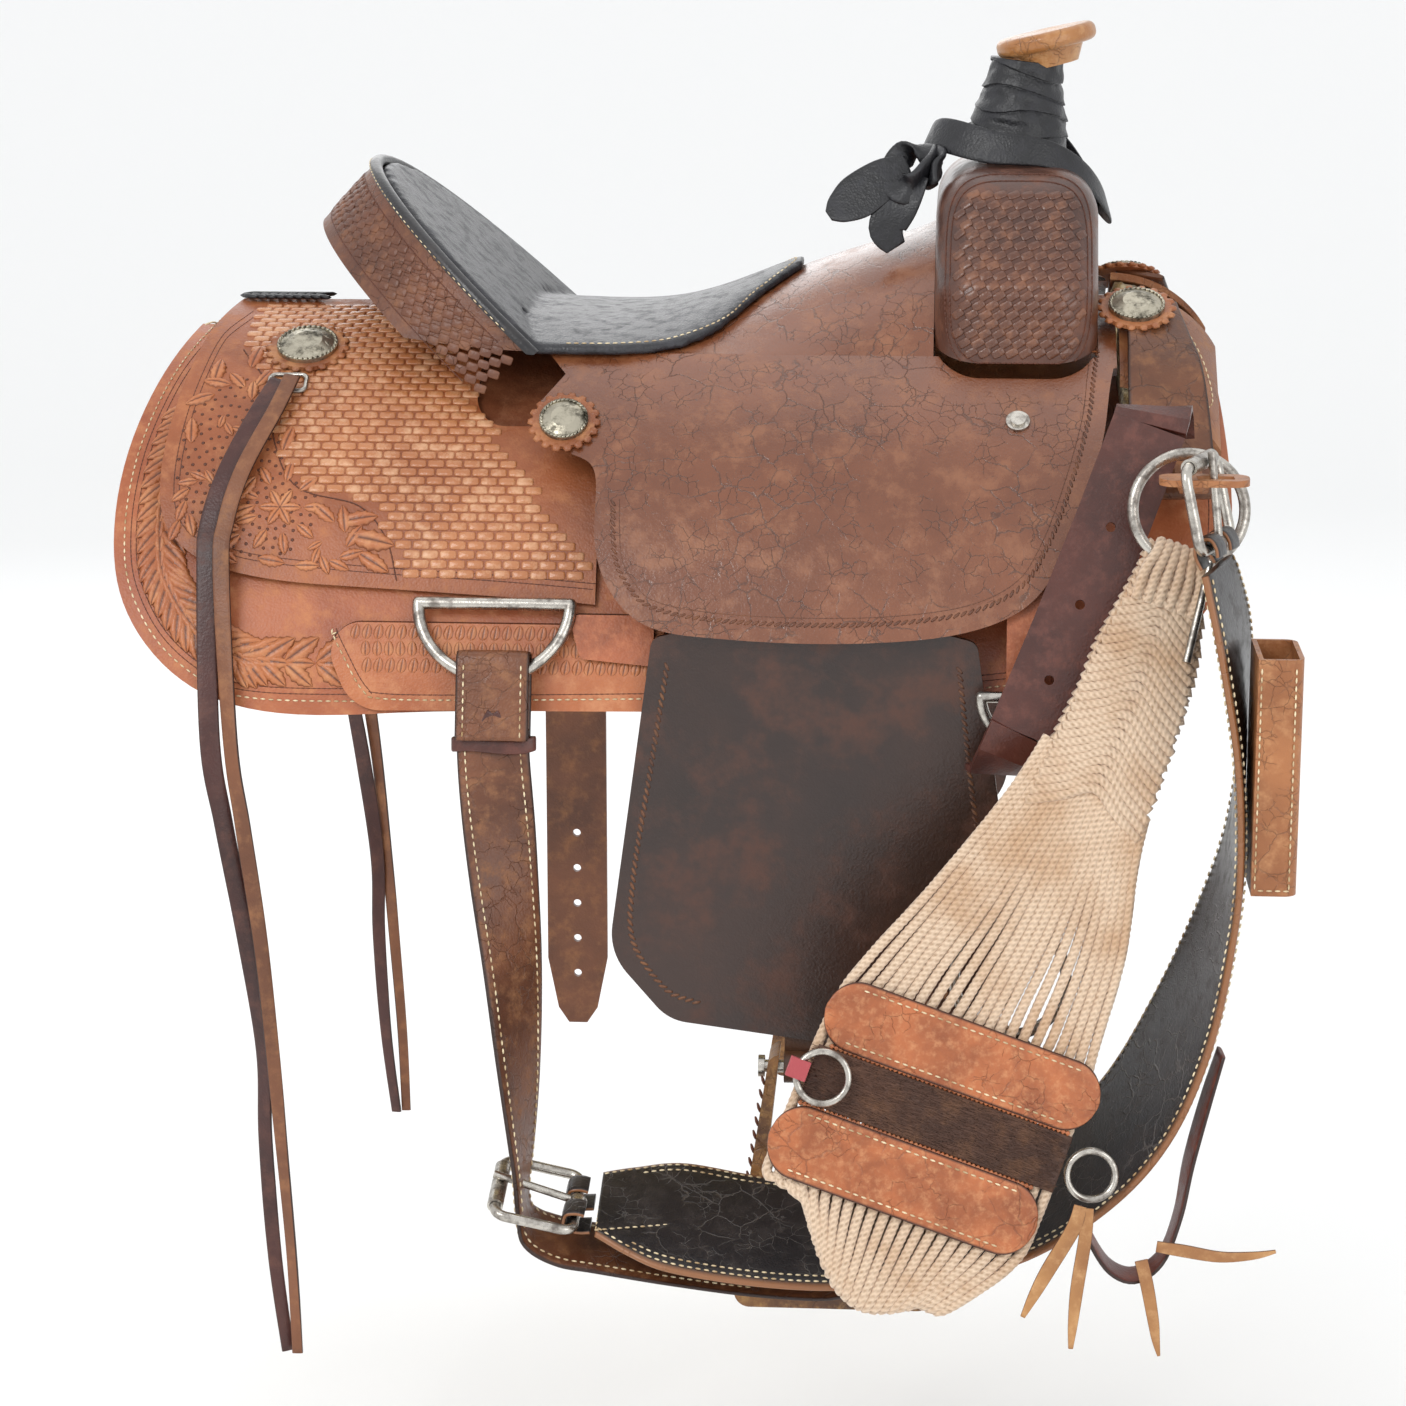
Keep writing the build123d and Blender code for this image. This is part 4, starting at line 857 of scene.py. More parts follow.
def turned_skin(name, foot, top, radius_at, rows, columns, low, high):
    """A skin round an axis; radius_at(height in mm, angle) gives its radius."""
    axis = (top - foot).normalized()
    one = Vector((0, 1, 0))
    two = axis.cross(one).normalized()
    points, faces = [], []
    for i in range(rows + 1):
        height = low + (high - low) * i / rows
        for k in range(columns):
            angle = 2 * math.pi * k / columns
            reach = radius_at(height, angle) / 1000
            out = one * math.cos(angle) + two * math.sin(angle)
            points.append(foot + axis * height / 1000 + out * reach)
    for i in range(rows):
        for k in range(columns):
            after = (k + 1) % columns
            faces.append((i * columns + k, i * columns + after, (i + 1) * columns + after,
                          (i + 1) * columns + k))
    faces.append(tuple(reversed(range(columns))))
    faces.append(tuple(rows * columns + k for k in range(columns)))
    return mesh_piece(name, points, faces)


def wrap_radius(height, angle):
    turn = (height / 13.0 + angle / (2 * math.pi) + 0.25 * math.sin(2 * angle + height / 9)) % 1.0
    lap = 1.9 * (1 - turn) ** 0.6
    rumple = 1.5 * noise.noise(Vector((math.cos(angle) * 2.2, math.sin(angle) * 2.2, height / 7)))
    body = 30.5 - 5.5 * height / 60 + 2.2 * math.sin(math.pi * height / 40)
    return body + lap + rumple


wrap = turned_skin("horn_tube_wrap", NECK_FOOT, NECK_TOP, wrap_radius, 130, 120, 1.0, 66.0)
wrap.data.materials.append(rubber)
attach(wrap, "saddle")
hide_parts("horn_wrap")
band_run = []
for k in range(24):
    t = 2 * math.pi * k / 24
    fore = math.cos(t)
    droop = 46 * max(fore, 0) ** 2.0
    x, y = 229 + 59 * fore, -4 + 52 * math.sin(t)
    lean = (fore * 0.35 - 0.05, math.sin(t) * 0.30, -1.0 if fore > 0 else -0.9)
    band_run.append((x, y, 147 - droop - 4 * math.sin(3 * t), 20 + 3 * math.sin(2 * t), lean))
band = strapped("spare_band", "saddle", band_run, 2.6, rubber, steps=5, shape=6.0,
                closed=True)
knot_run = [(176, -34, 138, 16, (0, 0.3, 1)), (170, -50, 130, 20, (0.3, 0, 1)),
            (158, -56, 118, 22, (0.8, 0, 1)),
            (148, -50, 120, 18, (1, 0.5, 0.6)), (150, -38, 134, 18, (1, 0, 0)),
            (164, -36, 142, 20, (0.4, 0.6, 0)),
            (176, -46, 134, 18, (0, 0.4, 1)), (172, -56, 120, 16, (0.6, 0, 1))]
strapped("band_knot", "saddle", knot_run, 6.0, rubber, steps=8, shape=3.0)
strapped("band_tail_low", "saddle", [
    (164, -52, 126, 22, (0.7, 0, 0.7)), (152, -58, 108, 26, (0.9, 0, 0.4)),
    (144, -60, 92, 24, (1, 0, 0.1)),
    (150, -60, 80, 14, (1, 0, 0.3))], 2.6, rubber)
strapped("band_tail_side", "saddle", [
    (158, -46, 130, 18, (0.2, 0.4, 1)), (142, -50, 124, 28, (0, 0.5, 1)),
    (124, -54, 112, 32, (0.2, 0.5, 1)),
    (112, -56, 104, 22, (0.4, 0.5, 1)), (106, -57, 100, 8, (0.4, 0.5, 1))], 2.8, rubber)
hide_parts("horn_band")


# ---- Metal fittings ----------------------------------------------------------
# Nickel-plated rings, dees, buckles, bolts and screws, dulled by use.
def plated(name, dark, light, rough):
    material, tree, shader, place = surface(name)
    soil = ease(tree, cloud(tree, place, 90.0, 6.0, 0.7), 0.42, 0.68)
    scratch = cloud(tree, place, 900.0, 3.0, 0.6, 1.5)
    tree.links.new(mixed(tree, soil, tint(light), tint(dark)), shader.inputs["Base Color"])
    dull = calc(tree, "ADD", rough, calc(tree, "MULTIPLY", soil, 0.22))
    tree.links.new(dull, shader.inputs["Roughness"])
    tree.links.new(bumped(tree, scratch, 0.00006), shader.inputs["Normal"])
    shader.inputs["Metallic"].default_value = 1.0
    return material


nickel = plated("dull_nickel", "77706a", "c4bfb6", 0.24)
finish(nickel, "rear_dees", "front_dees", "string_dees", "jockey_screws", "stirrup_bolt_right",
       "stirrup_bolt_left",
       "flank_buckle_frames", "flank_buckle_tongues", "front_buckle_roller", "rear_buckle_roller",
       "cinch_end_rings", "cinch_side_ring_left", "cinch_side_ring_right")


# ---- Conchos and rosettes ----------------------------------------------------
# Antique silver buttons with a rope edge and engraved scrolls, each screwed
# down over a scalloped leather rosette.
old_silver = plated("old_silver", "3d3930", "b5ae9c", 0.3)
finish(old_silver, "conchos")
rosette_leather = leather("rosette_leather", "7a4326", "a6673f", "cc9464", 0.5)
finish(rosette_leather, "rosettes")
buttons = [(REAR_CENTRE, 0.256, -235, 27.0, 40.0), (SEAT_CENTRE, 0.307, -56, 45.0, 31.0),
           (SEAT_CENTRE, 0.316, 305, 26.6, 36.0)]
beads, scallop_marks, scrolls = [], [], []
for side in (-1, 1):
    for centre, radius, x, tilt, size in buttons:
        a = math.radians(tilt)
        up = Vector((0, side * math.sin(a), math.cos(a)))
        middle = Vector((x / 1000, side * (radius * math.sin(a) - centre[0]),
                         centre[1] + radius * math.cos(a)))
        one = Vector((1, 0, 0))
        two = up.cross(one)
        for k in range(34):
            t = 2 * math.pi * k / 34
            out = one * math.cos(t) + two * math.sin(t)
            beads.append((middle + up * 0.0059 + out * (size / 2 - 1.2) / 1000, up,
                          out.cross(up) + out * 0.5))
        for k in range(18):
            t = 2 * math.pi * k / 18
            out = one * math.cos(t) + two * math.sin(t)
            scallop_marks.append((middle + up * 0.0018 + out * (size / 2 + 4.4) / 1000, up, out))
        for k in range(12):
            t = 2 * math.pi * k / 12
            out = one * math.cos(t) + two * math.sin(t)
            slope = (out * 0.9 - up * 0.42).normalized()
            turned_way = (slope + out.cross(up) * 0.9).normalized()
            far = size / 2 - 8.0
            scrolls.append((middle + up * 0.0076 + out * far / 1000, (up + out * 0.45).normalized(),
                            turned_way, 0.42))
stamped("concho_rope_edge", "saddle", beads, stitch_shape, (4.4, 1.9, 2.0), old_silver)
stamped("rosette_scallops", "saddle", scallop_marks, stitch_shape, (7.5, 6.6, 3.4), rosette_leather)
stamped("concho_scrolls", "saddle", scrolls, leaf, (18, 9, 1.8), old_silver)


# ---- Front jockeys and latigo holders ----------------------------------------
# The leather that rises over the withers, stitched round its edge, with a
# holder strap hanging from the front concho.
front_brown = leather("front_brown", "6e3f26", "98613c", "bd8a5c", 0.5, crack=0.2)
finish(front_brown, "front_jockeys")
jockey_skin = surface_of("front_jockeys")
marks = []
brow_line = curve_through([(300, 60), (322, 64), (342, 76), (352, 92), (354, 108), (346, 122),
                           (330, 128)])
for run in dropped(jockey_skin, brow_line):
    marks += march([r[0] for r in run], [r[1] for r in run], 0.005)
stamped("front_stitches", "saddle", marks, stitch_shape, STITCH, cream_thread)
holder_brown = leather("holder_brown", "4a2a1a", "6d4229", "94643f", 0.5, crack=0.5, edge=strap_edge)


def flipped(stations):
    return [(x, -y, z, w, (side[0], -side[1], side[2])) for x, y, z, w, side in stations]


holder_run = [(315, -78, 49.5, 34, (1, 0, -0.22)), (318, -104, 36, 40, (1, 0, -0.26)),
              (322, -132, 14.5, 48, (1, 0, -0.22)),
              (325, -160, -24, 52, (1, 0, -0.12)), (326, -184, -62, 54, (1, 0, 0))]
holders = [strapped("latigo_holder_right", "saddle", holder_run, 3.6, holder_brown),
           strapped("latigo_holder_left", "saddle", flipped(holder_run), 3.6, holder_brown)]
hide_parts("latigo_holders")
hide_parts("latigo_holders")


# ---- Fleece ------------------------------------------------------------------
# Woolskin lining under the skirts and bars, its pile matted in small locks.
wool, wool_tree, wool_shader, wool_place = surface("fleece_wool")
locks = put(wool_tree, "ShaderNodeTexVoronoi", {"Vector": wool_place, "Scale": 170.0}).outputs["Distance"]
soiled = ease(wool_tree, cloud(wool_tree, wool_place, 16.0, 6.0, 0.65), 0.35, 0.68)
wool_colour = mixed(wool_tree, soiled, tint("e6d9b4"), tint("bda476"))
wool_colour = mixed(wool_tree, ease(wool_tree, locks, 0.35, 0.8), wool_colour, tint("8d744a"))
wool_tree.links.new(wool_colour, wool_shader.inputs["Base Color"])
curls = calc(wool_tree, "ADD", locks, cloud(wool_tree, wool_place, 700.0, 3.0))
wool_tree.links.new(bumped(wool_tree, curls, 0.0016), wool_shader.inputs["Normal"])
wool_shader.inputs["Roughness"].default_value = 0.95
wool_shader.inputs["Sheen Weight"].default_value = 0.35
fleece = softened("fleece_lining", "fleece", 0.0052, 2, 0.0)
for vertex in fleece.data.vertices:
    lump = noise.noise(vertex.co * 150) + 0.6 * noise.noise(vertex.co * 330)
    vertex.co += vertex.normal * (0.0011 * lump - 0.0006)
fleece.data.materials.append(wool)
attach(fleece, "saddle")
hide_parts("fleece")


# ---- Fenders and stirrups ----------------------------------------------------
# Dark oiled fenders, rope stamped down both edges, sewn to the stirrup leathers,
# that carry rawhide-covered wooden roping stirrups on a bolt.
fender_brown = leather("fender_brown", "24150f", "3c2318", "613622", 0.42, gloss=0.25, spread=4.0)
finish(fender_brown, "fender_right", "fender_left")
hidden_brown = leather("leg_leather", "3a2418", "54341f", "77502f", 0.55)
finish(hidden_brown, "stirrup_leather_right", "stirrup_leather_left")
FENDER_FACE = 230.75
fender_stamp = leather("fender_stamp", "4a2b1b", "6e452b", "946640", 0.5)
fender_edges = [curve_through([(5, -160), (-6, -230), (-17, -300), (-17, -345), (6, -380), (30, -391)]),
                curve_through([(204, -160), (212, -230), (221, -300), (222, -348), (196, -381),
                               (160, -394)])]
for side, body in ((-1, "fender_right"), (1, "fender_left")):
    marks = []
    for line, way in ((fender_edges[0], 9), (fender_edges[1], -9)):
        run = [Vector((x / 1000, side * FENDER_FACE / 1000, z / 1000)) for x, z in inset(line, way)]
        marks += march(run, [Vector((0, side, 0))] * len(run), 0.0048)
    stamped(body + "_rope_stamp", body, marks, stitch_shape, (6.4, 2.2, 1.2), fender_stamp,
            turn=0.6)
stirrup_hide = leather("stirrup_hide", "4c2c18", "8f6234", "c79a5e", 0.5, crack=0.3, spread=30.0)
finish(stirrup_hide, "stirrup_right", "stirrup_left")
for side, body in ((-1, "stirrup_right"), (1, "stirrup_left")):
    marks = []
    for leg in (-1, 1):
        for k in range(12):
            spot = at(121 + leg * (46 + 1.3 * k), side * (228.5 + 11 + 0.5 * k), -430 - 9 * k)
            marks.append((spot, Vector((leg * 0.5, side, 0)).normalized(), Vector((leg * 0.2, 0, -1))))
    stamped(body + "_lacing", body, marks, stitch_shape, (7.5, 2.4, 2.2), creased,
            turn=0.5)


# ---- Stowed billets ----------------------------------------------------------
# The off billet and the near latigo, doubled back through their holders.
latigo = leather("latigo_strap", "3a1c16", "54291f", "744032", 0.42, gloss=0.1, spread=14.0)
finish(latigo, "off_billet", "latigo_left")
tan_strap = leather("tan_strap", "7d4a28", "a66b40", "c99566", 0.5, crack=0.3)
finish(tan_strap, "carrier_strap", "flank_keeper")
billet_brown = leather("billet_brown", "4d2a18", "74452a", "9c6a42", 0.46, crack=0.2, spread=16.0,
                       edge=strap_edge)
finish(leather("near_billet", "4d2a18", "74452a", "9c6a42", 0.46), "rear_billet_left")
pocket_marks = []
for x in (372, 392):
    run = [at(x - 1, -348.3, -268), at(x - 1, -348.3, -132)]
    pocket_marks += march(run, [Vector((0, -1, 0))] * 2, 0.005)
pocket_low = [at(372, -348.3, -268), at(391, -348.3, -268)]
pocket_marks += march(pocket_low, [Vector((0, -1, 0))] * 2, 0.005)
stamped("pocket_stitches", "flank", pocket_marks, stitch_shape, STITCH, cream_thread)


def strap_seams(stations, thick, inward, pitch, faces, steps=6, span=(0.0, 1.0)):
    """Seam marks along the long edges of a strap, inward from each edge, in mm."""
    run = curve_through([[s[0], s[1], s[2], s[3], *s[4]] for s in stations], steps)
    run = run[int(span[0] * len(run)):max(int(span[1] * len(run)), 2)]
    marks = []
    for face in faces:
        for edge in (-1, 1):
            places, ups = [], []
            for i, row in enumerate(run):
                ahead, behind = run[min(i + 1, len(run) - 1)], run[max(i - 1, 0)]
                along = (Vector(ahead[:3]) - Vector(behind[:3])).normalized()
                side = Vector(row[4:7])
                side = (side - along * side.dot(along)).normalized()
                out = along.cross(side) * face
                spot = Vector(row[:3]) + side * edge * (row[3] / 2 - inward)
                places.append((spot + out * (thick / 2 + 0.1)) / 1000)
                ups.append(out)
            marks += march(places, ups, pitch)
    return marks


billet_run = [
    (-95, -237.5, -204, 46, (1, 0, 0)), (-94, -243, -228, 46, (1, 0, 0)),
    (-88, -252, -290, 46, (0.9, 0.43, 0)),
    (-81, -266, -350, 46, (0.7, 0.71, 0)), (-76, -282, -410, 46, (0.45, 0.89, 0.02)),
    (-73, -296, -460, 44, (0.18, 0.98, 0.1)), (-72, -302.5, -492, 42, (0, 0.975, 0.22)),
    (-66, -303.5, -508, 44, (0, 0.95, 0.3)), (-48, -304, -517, 46, (0, 0.94, 0.34)),
    (-24, -304, -521, 46, (0, 0.94, 0.34)),
    (22, -303.5, -528, 46, (0, 0.94, 0.34)), (72, -302, -535, 44, (0, 0.94, 0.34)),
    (118, -302, -538, 40, (0, 0.94, 0.34)), (140, -302, -539, 22, (0, 0.94, 0.34))]
billet = strapped("rear_billet_strap", "flank", billet_run, 4.5, billet_brown, steps=8)
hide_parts("rear_billet_right")
loop_down = Vector((0, -0.259, -0.966))
loop_out = Vector((0, -0.966, 0.259))
loop_run = []
for a, b in ((-7.2, 40), (-7.2, 16), (-7.2, -8), (-4.6, -14.4), (1.0, -15.6), (6.4, -14.2), (8.5, -8),
             (8.5, 16), (8.5, 40)):
    spot = Vector((-95, -230, -172.4)) + loop_out * a + loop_down * b
    loop_run.append((*spot, 46, (1, 0, 0)))
loop = strapped("rear_billet_loop", "flank", loop_run, 2.9, billet_brown)
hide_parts("rear_billet_right")
marks = strap_seams(billet_run, 4.5, 5.5, SEAM_PITCH, faces=(1, -1), span=(0.02, 0.86))
marks += strap_seams(loop_run[6:], 2.9, 5.0, SEAM_PITCH, faces=(1, -1))
stamped("rear_billet_stitches", "flank", marks, stitch_shape, STITCH, cream_thread)
strapped("billet_tie_left", "flank", [
    (-113, -241.5, -212, 8, (0.3, 0, 1)), (-104, -243.5, -205, 8, (0.6, 0, 1)),
    (-94, -244.5, -192, 8, (0.8, 0, 0.6))], 3, latigo)
strapped("billet_tie_right", "flank", [
    (-77, -241.5, -210, 8, (-0.3, 0, 1)), (-86, -243.5, -204, 8, (-0.6, 0, 1)),
    (-94, -244.5, -192, 8, (-0.8, 0, 0.6))], 3, latigo)
wrap_run = []
for k in range(16):
    t = 2 * math.pi * k / 16
    wrap_run.append((-94.5 + 25.5 * math.cos(t), -239 + 6.2 * math.sin(t), -213 + 0.8 * math.cos(3 * t),
                     9, (0, 0.2, 1)))
strapped("billet_tie_wrap", "flank", wrap_run, 2.6, latigo, closed=True)


# ---- Flank cinch -------------------------------------------------------------
# A four-inch strap of two hides sewn together, nearly black inside, with a
# folded and sewn loop at each end for its roller buckle.
black_hide = leather("flank_hide", "121013", "221c1c", "3a302c", 0.42, crack=0.4, gloss=0.15,
                     split="6a625c",
                     edge=strap_edge, edge_crack_and_painted_shade="8a5a36", spread=13.0)
flank_list = [
    (-24, -333, -501, 64, (0, 0.96, 0.27)), (-4, -341, -509, 84, (0, 0.95, 0.31)),
    (24, -349, -517, 102, (0, 0.94, 0.34)),
    (72, -350, -524, 102, (0, 0.94, 0.34)), (122, -350, -526, 102, (0, 0.94, 0.34)),
    (182, -350, -521, 102, (0, 0.94, 0.34)),
    (240, -350, -504, 102, (-0.10, 0.94, 0.32)), (290, -350, -470, 102, (-0.22, 0.94, 0.26)),
    (325, -350, -427, 102, (-0.30, 0.94, 0.15)), (347, -349, -372, 102, (-0.26, 0.96, 0.08)),
    (359, -347, -310, 102, (-0.14, 0.99, 0)), (363, -345, -255, 102, (0, 1, 0)),
    (359, -343, -190, 98, (0.12, 0.99, 0)),
    (348, -338, -130, 84, (0.26, 0.96, 0)), (339, -330, -92, 62, (0.35, 0.94, 0)),
    (336.5, -328, -82, 58, (0.35, 0.94, 0))]
flank_run = []
for x, y, z, width, side in flank_list:
    way = Vector(side).normalized()
    middle = Vector((x, y, z)) + way * width / 2
    flank_run.append((*middle, width, tuple(way)))
flank = strapped("flank_cinch_strap", "flank", flank_run, 6.0, black_hide, steps=8,
                 shape=9.0)
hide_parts("flank_cinch")
marks = strap_seams(flank_run, 6.0, 4.5, SEAM_PITCH, faces=(1, -1), steps=8)
marks += strap_seams(flank_run, 6.0, 9.5, SEAM_PITCH, faces=(1, -1), steps=8, span=(0.08, 0.45))
stamped("flank_stitches", "flank", marks, stitch_shape, STITCH, cream_thread)
rear_side = Vector((0, 0.975, 0.22)).normalized()
rear_way = Vector((0.972, 0.052, -0.229))
rear_up = rear_way.cross(rear_side).normalized()
rear_up = rear_up if rear_up.z > 0 else -rear_up
front_side = Vector((0.35, 0.94, 0)).normalized()
front_way = Vector((0.24, 0, -0.97))
front_way = (front_way - front_side * front_way.dot(front_side)).normalized()
front_up = front_way.cross(front_side).normalized()
for label, middle, way, side, up in (("rear", Vector((-62, -303, -487)), rear_way, rear_side, rear_up),
                                     ("front", Vector((340, -300, -45)), front_way, front_side,
                                      front_up)):
    for half in (-1, 1):
        run = []
        for a, b in ((30, 6.4), (25, 6.6), (19.5, 4.4), (18.4, 0), (19.5, -4.4), (25, -6.6), (30, -6.4),
                     (36, -4.6)):
            spot = middle + way * a + up * b + side * half * 13.2
            run.append((*spot, 17, tuple(side)))
        ear = strapped(f"{label}_buckle_ear_{(half + 3) // 2}", "flank", run, 3.2, black_hide)
        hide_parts("flank_cinch")
seam = []
tri = [(2, -30), (2, 22), (56, -4), (2, -30)]
places = []
for a, b in tri:
    places.append((Vector((-26, -302, -494)) + Vector((0.985, -0.03,
        -0.17)) * a + rear_side * b + rear_up * 3.3) / 1000)
for a, b in zip(places, places[1:]):
    seam += march([a, b], [rear_up, rear_up], 0.005)
stamped("flank_end_triangle", "flank", seam, stitch_shape, STITCH, cream_thread)


# ---- Corded front cinch ------------------------------------------------------
# Mohair cords looped round the end ring, woven in chevrons below it, fanned out
# over the width of the cinch, and turned back at its other end.
mohair, cord_tree, cord_shader, cord_place = surface("mohair_cord")
fuzz = cloud(cord_tree, cord_place, 1500.0, 4.0, 0.7)
dusty = ease(cord_tree, cloud(cord_tree, cord_place, 22.0, 5.0), 0.4, 0.7)
cord_colour = mixed(cord_tree, dusty, tint("ecd3b8"), tint("d4b08e"))
# The grooves between the twisted strands are darkened: painted shade.
groove_shade = put(cord_tree, "ShaderNodeAttribute", attribute_name="groove_shade").outputs["Fac"]
cord_colour = mixed(cord_tree, calc(cord_tree, "MULTIPLY", groove_shade, 0.75), cord_colour, tint("8a6238"))
cord_tree.links.new(cord_colour, cord_shader.inputs["Base Color"])
cord_tree.links.new(bumped(cord_tree, fuzz, 0.0006), cord_shader.inputs["Normal"])
cord_shader.inputs["Roughness"].default_value = 0.9
cord_shader.inputs["Sheen Weight"].default_value = 0.3
CINCH_TOP = Vector((332, -252, -57))
cinch_down = (Vector((189, -368, -452)) - CINCH_TOP).normalized()
cinch_side = Vector((-cinch_down.z, 0, cinch_down.x)).normalized()
cinch_out = -cinch_side.cross(cinch_down)
cinch_out = cinch_out if cinch_out.y < 0 else -cinch_out
SHIFT = -23.0


def on_cinch(across, down, out):
    return CINCH_TOP + cinch_side * (across + SHIFT) + cinch_down * down + cinch_out * out


def twined(name, body, runs, radius, pitch, material):
    """Three-strand twisted cord along each run of points, in mm."""
    points, faces, groove_shades = [], [], []
    ring = 12
    for number, corners in enumerate(runs):
        run = [Vector(p) for p in curve_through([list(c) for c in corners], 7)]
        even = [run[0]]
        for a, b in zip(run, run[1:]):
            while (b - even[-1]).length > 2.0:
                even.append(even[-1] + (b - even[-1]).normalized() * 2.0)
        base = len(points)
        side = Vector((0.3, 0.2, 1.0))
        for i, spot in enumerate(even):
            along = (even[min(i + 1, len(even) - 1)] - even[max(i - 1, 0)]).normalized()
            side = (side - along * side.dot(along)).normalized()
            other = along.cross(side)
            twist = 2 * math.pi * (i * 2.0 / pitch + number * 0.37)
            for k in range(ring):
                t = 2 * math.pi * k / ring
                lobe = abs(math.sin(1.5 * (t + twist)))
                reach = radius * (0.76 + 0.28 * lobe ** 0.6)
                points.append((spot + side * reach * math.cos(t) + other * reach * math.sin(t)) / 1000)
                # High between the strands, where the cord material paints shade.
                groove_shades.append(1 - lobe)
        for i in range(len(even) - 1):
            for k in range(ring):
                after = (k + 1) % ring
                a = base + i * ring
                faces.append((a + k, a + after, a + ring + after, a + ring + k))
        faces.append(tuple(base + k for k in reversed(range(ring))))
        faces.append(tuple(base + (len(even) - 1) * ring + k for k in range(ring)))
    piece = mesh_piece(name, points, faces)
    layer = piece.data.attributes.new("groove_shade", "FLOAT", "POINT")
    layer.data.foreach_set("value", groove_shades)
    piece.data.materials.append(material)
    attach(piece, body)
    return piece


CORDS = 22
runs = []
for i in range(CORDS):
    t = i / (CORDS - 1)
    sway = 2.5 * math.sin(7.1 * i)
    low = 505 + 22 * math.sin(math.pi * min(t * 1.15, 1)) - 34 * (1 - t) ** 2
    runs.append([
        on_cinch(-10 + 72 * t, 158 + 26 * t, -1), on_cinch(-20 + 86 * t, 200 + 16 * t, 0),
        on_cinch(-44 + 122 * t + sway * 0.4, 268, 0.5), on_cinch(-66 + 148 * t + sway * 0.6, 322, 0.5),
        on_cinch(-75 + 158 * t, 357, 0), on_cinch(-79 + 162 * t, 438, 0),
        on_cinch(-78 + 156 * t, 464, 0.6),
        on_cinch(-62 + 122 * t, low - 14, 0.3), on_cinch(-50 + 98 * t, low, -3.0),
        on_cinch(-48 + 92 * t, low - 3, -9.5), on_cinch(-46 + 92 * t, low - 26, -11.0),
        on_cinch(-36 + 84 * t, 440, -10.6), on_cinch(-22 + 72 * t, 398, -10.6)])
fan = twined("cinch_fan_cords", "front_cinch", runs, 3.2, 13.0, mohair)
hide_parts("cinch_cords")
rows = []
for face, deep in ((1, 2.6), (-1, -2.8)):
    for k in range(26):
        down = 34 + 6.1 * k
        t = min(max((down - 46) / 60, 0), 1)
        left = (1 - t) * 6 + t * -3 - (6 * (down - 130) / 50 if down > 130 else 0)
        right = (1 - t) * 50 + t * 64
        middle = (left + right) / 2
        fall = 0.34 * (right - left) * face
        rows.append([on_cinch(left, down + fall * 0.5, deep * 0.3),
                     on_cinch((left + middle) / 2, down + fall * 0.1, deep),
                     on_cinch(middle, down - fall * 0.35, deep * 1.15),
                     on_cinch((middle + right) / 2, down + fall * 0.1, deep),
                     on_cinch(right, down + fall * 0.5, deep * 0.3)])
for k in range(6):
    across = 11 + 7 * k
    rows.append([on_cinch(across, 62, 3.6), on_cinch(across - 1, 44, 5.6),
                 on_cinch(across * 0.8 + 4, 32, 6.0),
                 on_cinch(across * 0.72 + 6, 24.5, 2.0), on_cinch(across * 0.72 + 6, 24.5, -2.0),
                 on_cinch(across * 0.8 + 4, 32, -6.0), on_cinch(across - 1, 44, -5.6),
                 on_cinch(across, 62, -3.6)])
for k in range(10):
    down = 334 + 6.6 * k
    rows.append([on_cinch(-8 + k * -1.0, down + 6, -12), on_cinch(20, down - 2, -13.5),
                 on_cinch(50 + k, down + 6, -12)])
woven = twined("cinch_woven_head", "front_cinch", rows, 3.3, 13.0, mohair)
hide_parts("cinch_weave")
patch_tan = leather("patch_tan", "8a4a28", "b5683c", "cf9568", 0.5, crack=0.3, spread=34.0,
                    edge_crack_and_painted_shade="3a1c10", edge=strap_edge)
for number, (start, end, top_edge, low_edge,
             zig) in enumerate(((-80, 94, 335, 378, 1), (-86, 84, 416, 461, -1))):
    run, teeth = [], []
    count = 120
    for k in range(count + 1):
        across = start + (end - start) * k / count
        near = min(across - start, end - across)
        round_off = math.sqrt(max(1 - (1 - min(near / 20, 1)) ** 2, 0.01))
        half = (low_edge - top_edge) / 2 * round_off
        spot = on_cinch(across, (low_edge + top_edge) / 2, 5.2 + 1.2 * math.sin(math.pi * k / count))
        run.append((*spot, 2 * half, tuple(cinch_down)))
        teeth.append((on_cinch(across, low_edge if zig > 0 else top_edge, 5.0) / 1000, cinch_out,
                      cinch_side))
    patch = strapped(f"cinch_patch_{number + 1}", "front_cinch", run, 3.4, patch_tan,
                     steps=1, shape=7.0)
    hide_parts("cinch_patches")
    stamped(f"patch_teeth_{number + 1}", "front_cinch", teeth[8:-8:2], tile_shape, (2.7, 2.7, 1.8),
            patch_tan,
            turn=math.pi / 4)
    marks = strap_seams(run[12:-12], 3.4, 5.0, SEAM_PITCH, faces=(-1, 1), steps=1)
    marks = [m for m in marks if m[1].dot(cinch_out) > 0]
    stamped(f"patch_stitches_{number + 1}", "front_cinch", marks, stitch_shape, STITCH, cream_thread)
hair_brown = leather("hair_on_hide", "3a2318", "553626", "7a563d", 0.7)
hide_run = []
for k in range(9):
    across = -76 + 162 * k / 8
    hide_run.append((*on_cinch(across, 397, 4.6), 35.6, tuple(cinch_down)))
hair_band = strapped("hair_hide_front", "front_cinch", hide_run, 3.4, hair_brown)
hair_back = strapped("hair_hide_back", "front_cinch", [
    (*on_cinch(-76 + 162 * k / 8, 397, -4.8), 35.6, tuple(cinch_down)) for k in range(9)], 3.0,
    hair_brown)
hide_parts("cinch_hair_band")
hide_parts("cinch_hair_band")
marks = []
